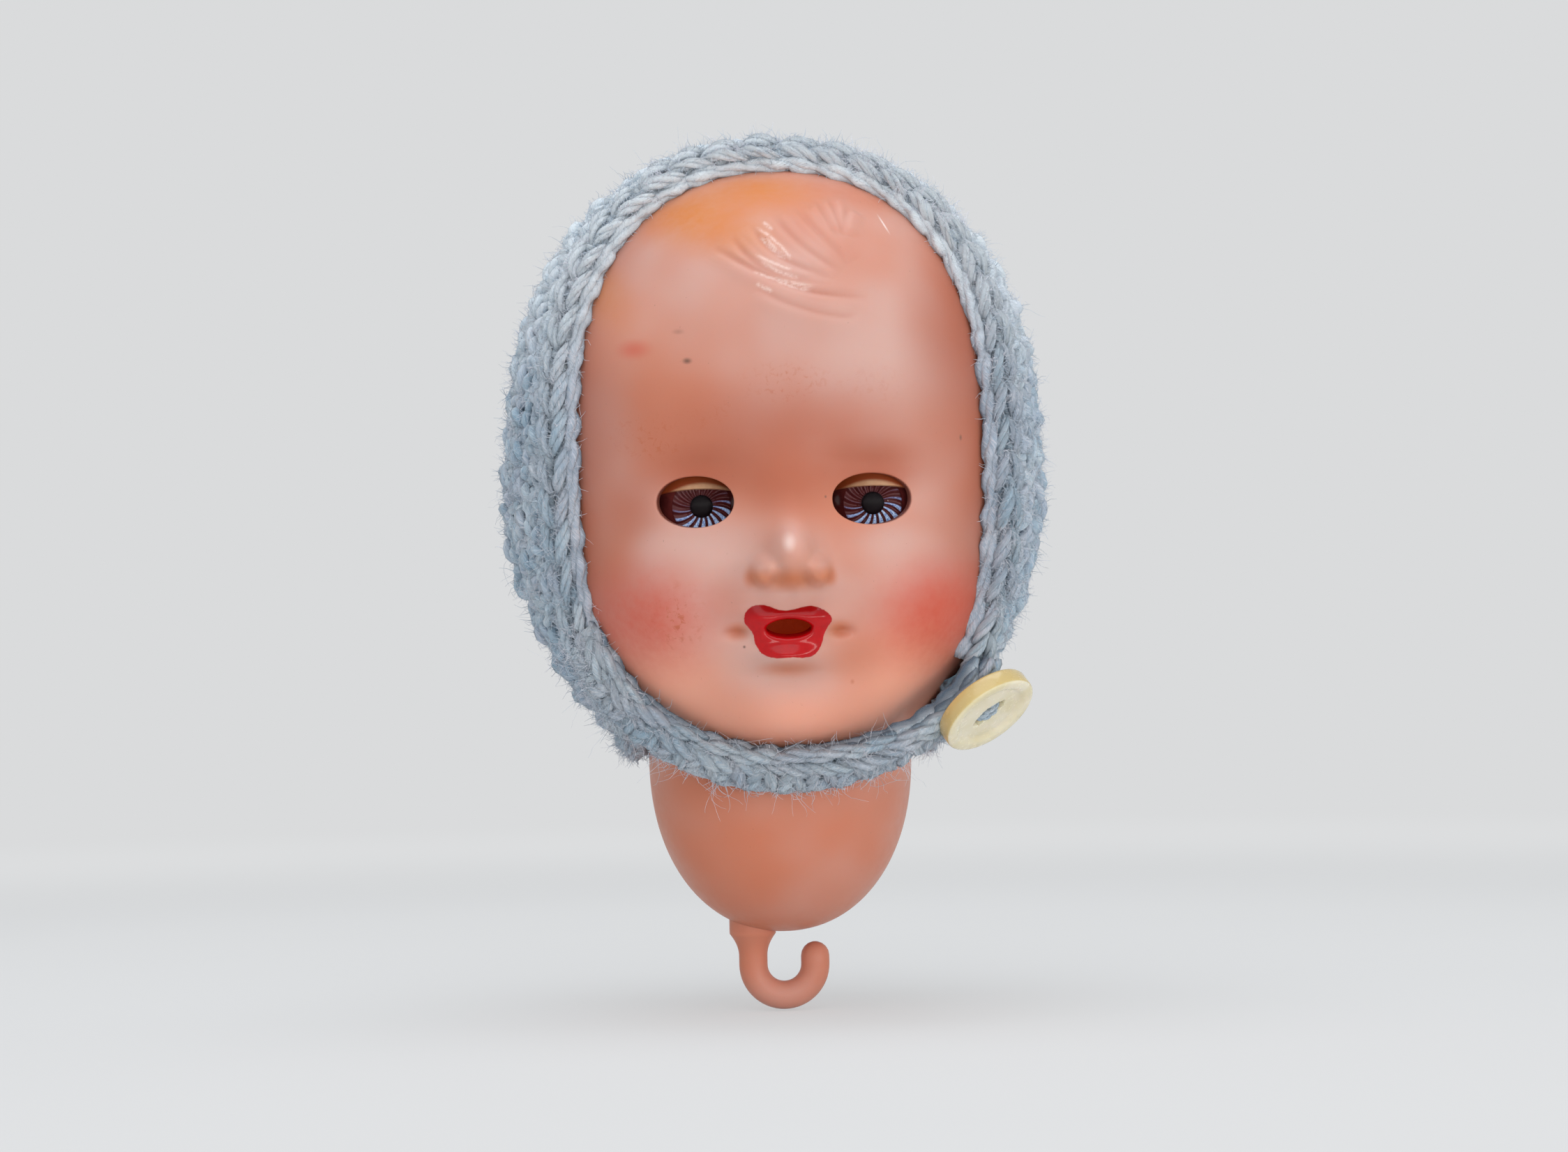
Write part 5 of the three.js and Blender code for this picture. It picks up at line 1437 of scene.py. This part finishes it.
def makeHook():
    h = hookForm
    rod, bend = h["rod"], h["bend"]
    centre = bend - rod
    rows = []
    for z in np.linspace(h["top"], centre, 26):
        near = max(0, 1 - abs(z - h["flareHeight"]) / h["flareReach"]) ** 2 if z < h["flareHeight"] else 1.0
        rows.append((-bend, z, rod + (h["flare"] - rod) * near))
    for turn in np.radians(np.linspace(186, 360, 30)):
        rows.append((bend * math.cos(turn), centre + bend * math.sin(turn), rod))
    for lift in np.radians([0, 20, 40, 60, 78, 88]):
        rows.append((bend, centre + h["tip"] + rod * math.sin(lift), rod * math.cos(lift)))
    strands = Strands()
    strands.add([(x, 0, z) for x, z, _ in rows], [radius for *_, radius in rows], 28, asArray([0, 1.0, 0]))
    points = strands.points[0]
    shares = {"lip": np.full(len(points), faceDetail["bare"]), "inside": np.zeros(len(points))}
    makePiece("hook", points, strands.faces, plainSkin, "head", "neck_hook", 60, shares)


makeHook()

# button: turned cream plastic with a rounded rim, a dished face and a sunk eye for the thread
buttonForm = {
    "radius": 5.75,
    "thickness": 2.2,
    "rim": 1.0,
    "round": 0.4,
    "backRound": 0.7,
    "dish": 0.45,
    "eyeLength": 4.4,
    "eyeWidth": 2.0,
    "eyeDepth": 0.8,
    "hole": 0.75,
    "holeFloor": 0.1,
    "spacing": 2.5,
    "standOff": 0.9,
    "stitchRise": 0.2,
    "threadRadius": 0.42,
}


def buttonAxes():
    turn = math.radians(strapForm["endDegrees"])
    seat, normal = strapPlace(asArray(turn)), strapNormal(asArray(turn))
    ahead = strapPlace(asArray(turn + 0.05)) - seat
    across = unit(ahead - normal * (ahead @ normal))
    lift = strapForm["thickness"] / 2 + buttonForm["stitchRise"] + buttonForm["standOff"]
    return seat + normal * lift, across, np.cross(normal, across), normal


buttonOrigin, buttonAcross, buttonOther, buttonNormal = buttonAxes()


def onButton(points):
    x, y, z = np.moveaxis(asArray(points), -1, 0)[..., None]
    return buttonOrigin + x * buttonAcross + y * buttonOther + z * buttonNormal


# Button: cream casein, polished and slightly see-through at its rim, yellower in the thick edge.
buttonSkin = newMaterial("Casein, polished cream")
fill(shader, {
    "Base Color": add("mix", held("edge"), patches(3.5, 2, "#dcd2ac", "#e8e1c8", roughness=0.5), "#cbb67a"),
    "Roughness": add("ramp", add("noise", where, 1 / 0.6, 4), 0.3, 0.8, 0.16, 0.34),
    "Subsurface Weight": 0.4,
    "Subsurface Radius": (1.0, 0.85, 0.5),
    "Subsurface Scale": 1.5 * mm,
    "Coat Weight": 0.3,
    "Coat Roughness": 0.1,
    "Normal": grain(2.5, 2, 0.1, 0.03),
})


def makeButton():
    b = buttonForm
    turns = 96
    wide, top, soft, under = b["radius"], b["thickness"], b["round"], b["backRound"]
    dished = wide - 2 * b["rim"]
    flat = dished + b["rim"]
    face = (*np.linspace(0.02, dished, 26), *np.linspace(dished + 0.12, flat, 8), flat + 0.2, flat + 0.4)
    rings = [(r, None) for r in face]
    for t in np.radians([0, 22, 45, 67, 90]):
        rings.append((wide - soft + soft * math.sin(t), top - soft + soft * math.cos(t)))
    rings += [(wide, top / 2), (wide, soft)]
    rings += [(wide - under * (1 - math.cos(t)), soft - soft * math.sin(t)) for t in np.radians([30, 60, 90])]
    rings += [(wide * 0.5, 0.0), (0.02, 0.0)]
    angles = np.linspace(0, 2 * math.pi, turns, endpoint=False)
    points, edge = [], []
    for radius, height in rings:
        x, y = radius * np.cos(angles), radius * np.sin(angles)
        z = np.full(turns, height)
        if height is None:
            share = np.clip((radius - dished) / b["rim"], 0, 1)
            almond = (np.abs(x) / (b["eyeLength"] / 2)) ** 1.6 + (np.abs(y) / (b["eyeWidth"] / 2)) ** 1.6
            z = top - b["dish"] * (1 - share * share * (3 - 2 * share))
            z -= b["eyeDepth"] * np.clip((1.12 - almond) / 0.3, 0, 1)
            z = np.where(np.hypot(np.abs(x) - b["spacing"] / 2, y) < b["hole"], b["holeFloor"], z)
        points.append(np.stack([x, y, z], axis=-1))
        thick = height is not None and radius > wide - 0.1 and height < top - 0.1
        edge.append(np.full(turns, float(thick)))
    makePiece(
        "button_disc", onButton(points), gridFaces(len(rings), turns)[:, ::-1], buttonSkin,
        "button", "button", 42, {"edge": np.concatenate(edge)},
    )


def makeThread():
    b = buttonForm
    strands = Strands()
    thick, half = b["threadRadius"], b["spacing"] / 2
    floor = b["thickness"] - b["dish"] - b["eyeDepth"]
    for shift in (-0.28, 0.28):
        line = [(-half, shift, -0.5)]
        for t in np.radians(np.linspace(180, 0, 15)):
            rise = math.sin(t)
            line.append((half * math.cos(t), shift * (1 + 0.5 * rise), floor + 0.15 + 0.55 * rise))
        strands.addYarn(onButton([*line, (half, shift, -0.5)]), thick, 2, 2.0, tone=0.4)
    turns = np.linspace(0, 5 * 2 * math.pi, 120)
    coil = np.stack([np.cos(turns), np.sin(turns), np.linspace(-0.45, -3.75, 120)], axis=-1)
    steps = np.linspace(0, 1, 8)
    legs = [[(side * half * (1 - 0.6 * s), 0, -0.2 - 3.2 * s) for s in steps] for side in (-1, 1)]
    for line in (coil, *legs):
        strands.addYarn(onButton(line), thick, 2, 2.4)
    strands.piece("button_yarn", threadYarn, "button", "button_thread")


makeButton()
makeThread()


# the hidden rocker keeps its solids, with their own metals, cork and plastic
def plainLook(name, dark, light, roughness, size, metallic=1.0):
    material = newMaterial(name)
    spots = add("noise", where, 1 / size, 4)
    fill(shader, {
        "Base Color": add("mix", add("ramp", spots, 0.3, 0.7), dark, light),
        "Roughness": add("ramp", spots, 0.2, 0.8, roughness - 0.08, roughness + 0.12),
        "Metallic": metallic,
        "Normal": add("bump", spots, 0.4, 0.05 * mm),
    })
    return material


insideLooks = {
    "eye_axle": ("Drawn steel wire", "#6d6a64", "#a9a69f", 0.32, 0.5),
    "counterweight_arm": ("Bent steel wire", "#6a665f", "#a09c94", 0.38, 0.5),
    "open_bumper": ("Cut cork", "#8a6238", "#c19a66", 0.9, 0.7, 0.0),
    "sleep_bumper": ("Cut cork, second", "#8a6238", "#c19a66", 0.9, 0.7, 0.0),
    "left_axle_bracket": ("Moulded lug", "#b0664c", "#c98468", 0.5, 3.0, 0.0),
    "right_axle_bracket": ("Moulded lug, second", "#b0664c", "#c98468", 0.5, 3.0, 0.0),
    # the weight's red-brown stands in for the orange glow of the shell's lit inside, seen through the mouth
    "counterweight": ("Cast lead, red-brown varnish", "#7a2a10", "#93391a", 0.6, 1.2, 0.0),
}
for nodeName, look in insideLooks.items():
    material = plainLook(*look)
    if nodeName == "counterweight":
        # painted light: the weight glows, standing in for daylight through the thin shell, which is what the
        # open mouth shows
        fill(shader, {"Emission Color": "#741a02", "Emission Strength": 0.55})
    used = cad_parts[nodeName].data.materials
    for index in range(len(used)):
        used[index] = material
    if not used:
        used.append(material)


# loose fibres, as three-sided hairs that leave the yarn and curl
fuzz = {
    "button": (20.9, -15.6, 34.0),
    "clearOfButton": 8.5,
    "short": {"share": (0.6, 2.0), "joints": 2, "lift": 1.7, "curl": 1.5, "radius": 0.036},
    "stray": {"share": (1.4, 3.8), "joints": 7, "lift": 1.5, "curl": 3.2, "radius": 0.026},
    # loose fibres of each piece: the yarn they leave, short ones, strays, the head's side, the longest stray
    "pieces": {
        "bonnet_fibres_left": (("bonnet_rounds_2", "bonnet_rounds_3"), 11500, 600, 1, 3.8),
        "bonnet_fibres_right": (("bonnet_rounds_2", "bonnet_rounds_3"), 11500, 600, -1, 3.8),
        "bonnet_fibres_crown": (("bonnet_rounds_1",), 8500, 700, 0, 3.8),
        "bonnet_fibres_edge": (("bonnet_edging_chain",), 8500, 1000, 0, 3.8),
        "bonnet_fibres_hem": (("bonnet_hem",), 3500, 200, 0, 3.8),
        "strap_fibres": (("strap_chain",), 3000, 700, 0, 6.5),
    },
}


# hairs from their roots: each bends at its joints and thins to its tip
def hairMesh(roots, directions, lengths, joints, curl, radius):
    count = len(roots)
    bend = jitter(curl, (count, 3))
    heading = directions
    lines = [roots]
    for _ in range(joints):
        lines.append(lines[-1] + heading * (lengths / joints)[:, None])
        heading = unit(heading + bend / joints + jitter(0.25, (count, 3)))
    lines = np.stack(lines, axis=1)
    ahead = unit(np.gradient(lines, axis=1))
    side = unit(np.cross(ahead, unit(jitter(1.0, (count, 1, 3)))))
    other = np.cross(ahead, side)
    turns = np.radians([0, 120, 240])[:, None]
    radii = (radius * np.linspace(1.0, 0.4, joints + 1))[:, None, None]
    rings = lines[:, :, None] + radii * (np.cos(turns) * side[:, :, None] + np.sin(turns) * other[:, :, None])
    starts = np.arange(count) * (joints + 1) * 3
    sides = (gridFaces(joints + 1, 3)[None] + starts[:, None, None]).reshape(-1, 4)
    ends = [starts[:, None] + [2, 1, 0], starts[:, None] + joints * 3 + [0, 1, 2]]
    return rings.reshape(-1, 3), sides.tolist() + ends[0].tolist() + ends[1].tolist()


def makeFuzz():
    scale = 1.0
    # Loose wool fibres: pale and nearly white where single.
    material = newMaterial("Loose wool fibres")
    pale = patches(3, 3, "#b3c5d4", "#e2e5ef", 0.35, 0.65)
    fill(shader, {"Base Color": pale, "Roughness": 0.8, "Sheen Weight": 0.4})
    for name, (yarns, shortCount, strayCount, side, longest) in fuzz["pieces"].items():
        found = [part for part in woolRoots if part[0] in yarns]
        points, outs, aheads, rises = (np.concatenate([part[k] for part in found]) for k in (1, 2, 3, 4))
        chance = np.clip(rises + 0.55, 0.03, 1.3)
        chance[points[:, 0] * side < 0] = 0
        # the button turns, so nothing loose is left beside it
        chance[np.linalg.norm(points - fuzz["button"], axis=1) < fuzz["clearOfButton"]] = 0
        made, faces, total = [], [], 0
        for kind, wanted in (("short", shortCount), ("stray", strayCount)):
            form = fuzz[kind]
            least, most = form["share"]
            most = longest if kind == "stray" else most
            count = int(wanted * scale)
            pick = random.choice(len(points), size=count, p=chance / chance.sum())
            lay = random.uniform(-1, 1, (count, 1))
            out, ahead = outs[pick], aheads[pick] * lay
            roots = points[pick] + ahead * 0.3 - out * 0.06
            lift = random.uniform(0.15, form["lift"], (count, 1))
            directions = unit(out * lift + ahead + jitter(0.3, (count, 3)))
            lengths = least + (most - least) * random.uniform(0, 1, count) ** 2
            hairs, sides = hairMesh(roots, directions, lengths, form["joints"], form["curl"], form["radius"])
            made.append(hairs)
            faces += [[k + total for k in face] for face in sides]
            total += len(hairs)
        makePiece(name, np.concatenate(made), faces, material, "head", None)


makeFuzz()

# floor, light and camera
stageForm = {
    "floor": -3.4,
    "paper": ("#d9dada", "#dedfdf"),  # as it lights the object
    "seenPaper": ("#868787", "#000000"),  # as it is seen, near and far
    "paperGlow": 0.64,
    "paperReach": (150.0, 420.0),
    "sweep": {"wide": 1600, "front": -1800, "back": 1100, "rise": 900, "bend": 300},
    "sky": "#dadbdc",
    "skyLight": ("#e4e6e8", 0.72),
    "photo": (2248, 1652),
    "frameHeight": 133.8,
    "distance": 600.0,
    "yawDegrees": 3.0,
    "rollDegrees": 1.2,
    "elevationDegrees": 0.4,
    "aim": (0.9, 0, 47.0),
    # each lamp's place, what it is turned to, its size, watts and colour
    "lamps": {
        "window": ((-40, -330, 460), (0, 0, 55), (440, 440), 0.69, "#fbfbff"),
        "fill": ((130, -450, 20), (0, 0, 30), (640, 100), 1.15, "#fffaf6"),
        "above": ((0, 10, 480), (0, -10, 90), (420, 260), 0.8, "#f6f9ff"),
        "side": ((300, -260, 40), (20, -5, 38), (60, 160), 0.09, "#fffaf6"),
    },
}


def place(name, data):
    made = bpy.data.objects.new(name, data)
    bpy.context.scene.collection.objects.link(made)
    return made


# 1 for the rays that show the background to the camera, directly or through gloss and clear plastic
def seenRays():
    rays = add("rays")
    seen = add("most", rays["Is Camera Ray"], rays["Is Glossy Ray"])
    return add("most", seen, rays["Is Transmission Ray"])


def makeFloor():
    s, sweep = stageForm, stageForm["sweep"]
    wide, back, bend = sweep["wide"], sweep["back"], sweep["bend"]
    profile = [(sweep["front"], 0), (-600, 0), (0, 0), (back - bend, 0)]
    for t in np.radians(np.linspace(0, 90, 24)):
        profile.append((back - bend + bend * math.sin(t), bend - bend * math.cos(t)))
    profile.append((back, sweep["rise"]))
    points = [(x * mm, y * mm, (z + s["floor"] - 0.05) * mm) for y, z in profile for x in (-wide, wide)]
    mesh = bpy.data.meshes.new("floor")
    mesh.from_pydata(points, [], gridFaces(len(profile), 2, False).tolist())
    mesh.shade_smooth()
    # Paper: matt emulsion on card. Seen rays find a dark paint that glows: near the object it takes
    # shadows, and far off it is as even as the sky.
    material = newMaterial("Painted paper sweep")
    seen, far = seenRays(), add("ramp", add("length", where), *s["paperReach"])
    cover = add("times", seen, add("ramp", far, 0.0, 1.0, 0.88, 1.0))
    fill(shader, {
        "Base Color": add("mix", cover, patches(90, 2, *s["paper"]), add("mix", far, *s["seenPaper"])),
        "Roughness": 0.95,
        "Specular IOR Level": 0.0,
        "Emission Color": s["sky"],
        "Emission Strength": add("times", seen, add("ramp", far, 0.0, 1.0, s["paperGlow"], 1.0)),
    })
    mesh.materials.append(material)
    place("floor", mesh)


def addLight(name, where, aim, size, watts, colour):
    data = bpy.data.lights.new(name, "AREA")
    data.shape = "RECTANGLE"
    data.size, data.size_y = size[0] * mm, size[1] * mm
    data.energy = watts
    data.color = linear(colour)[:3]
    made = place(name, data)
    made.location = asArray(where) * mm
    made.rotation_euler = Vector(asArray(aim) - asArray(where)).to_track_quat("-Z", "Y").to_euler()
    made.visible_camera = False  # seen from behind, the object stands before the lamps


def makeCamera():
    s = stageForm
    data = bpy.data.cameras.new("camera")
    data.sensor_width = 36
    data.lens = 36 * s["distance"] / (s["frameHeight"] * s["photo"][0] / s["photo"][1])
    data.clip_start, data.clip_end = 0.01, 10
    made = place("camera", data)
    yaw, lift = math.radians(s["yawDegrees"]), math.radians(s["elevationDegrees"])
    back = Vector((-math.sin(yaw) * math.cos(lift), -math.cos(yaw) * math.cos(lift), math.sin(lift)))
    made.location = (Vector(s["aim"]) + back * s["distance"]) * mm
    turn = (-back).to_track_quat("-Z", "Y").to_matrix()
    made.rotation_euler = (turn @ Matrix.Rotation(math.radians(-s["rollDegrees"]), 3, "Z")).to_euler()
    bpy.context.scene.camera = made


makeFloor()
makeCamera()
for name, lamp in stageForm["lamps"].items():
    addLight(name, *lamp)
world = bpy.data.worlds.new("room")
world.use_nodes = True
tree = world.node_tree
seen = seenRays()
colour, strength = stageForm["skyLight"]
fill(tree.nodes["Background"], {
    "Color": add("mix", seen, colour, stageForm["sky"]),
    "Strength": add("ramp", seen, 0.0, 1.0, strength, 1.0),
})
bpy.context.scene.world = world
bpy.context.scene.view_settings.view_transform = "Standard"
print("stage made")
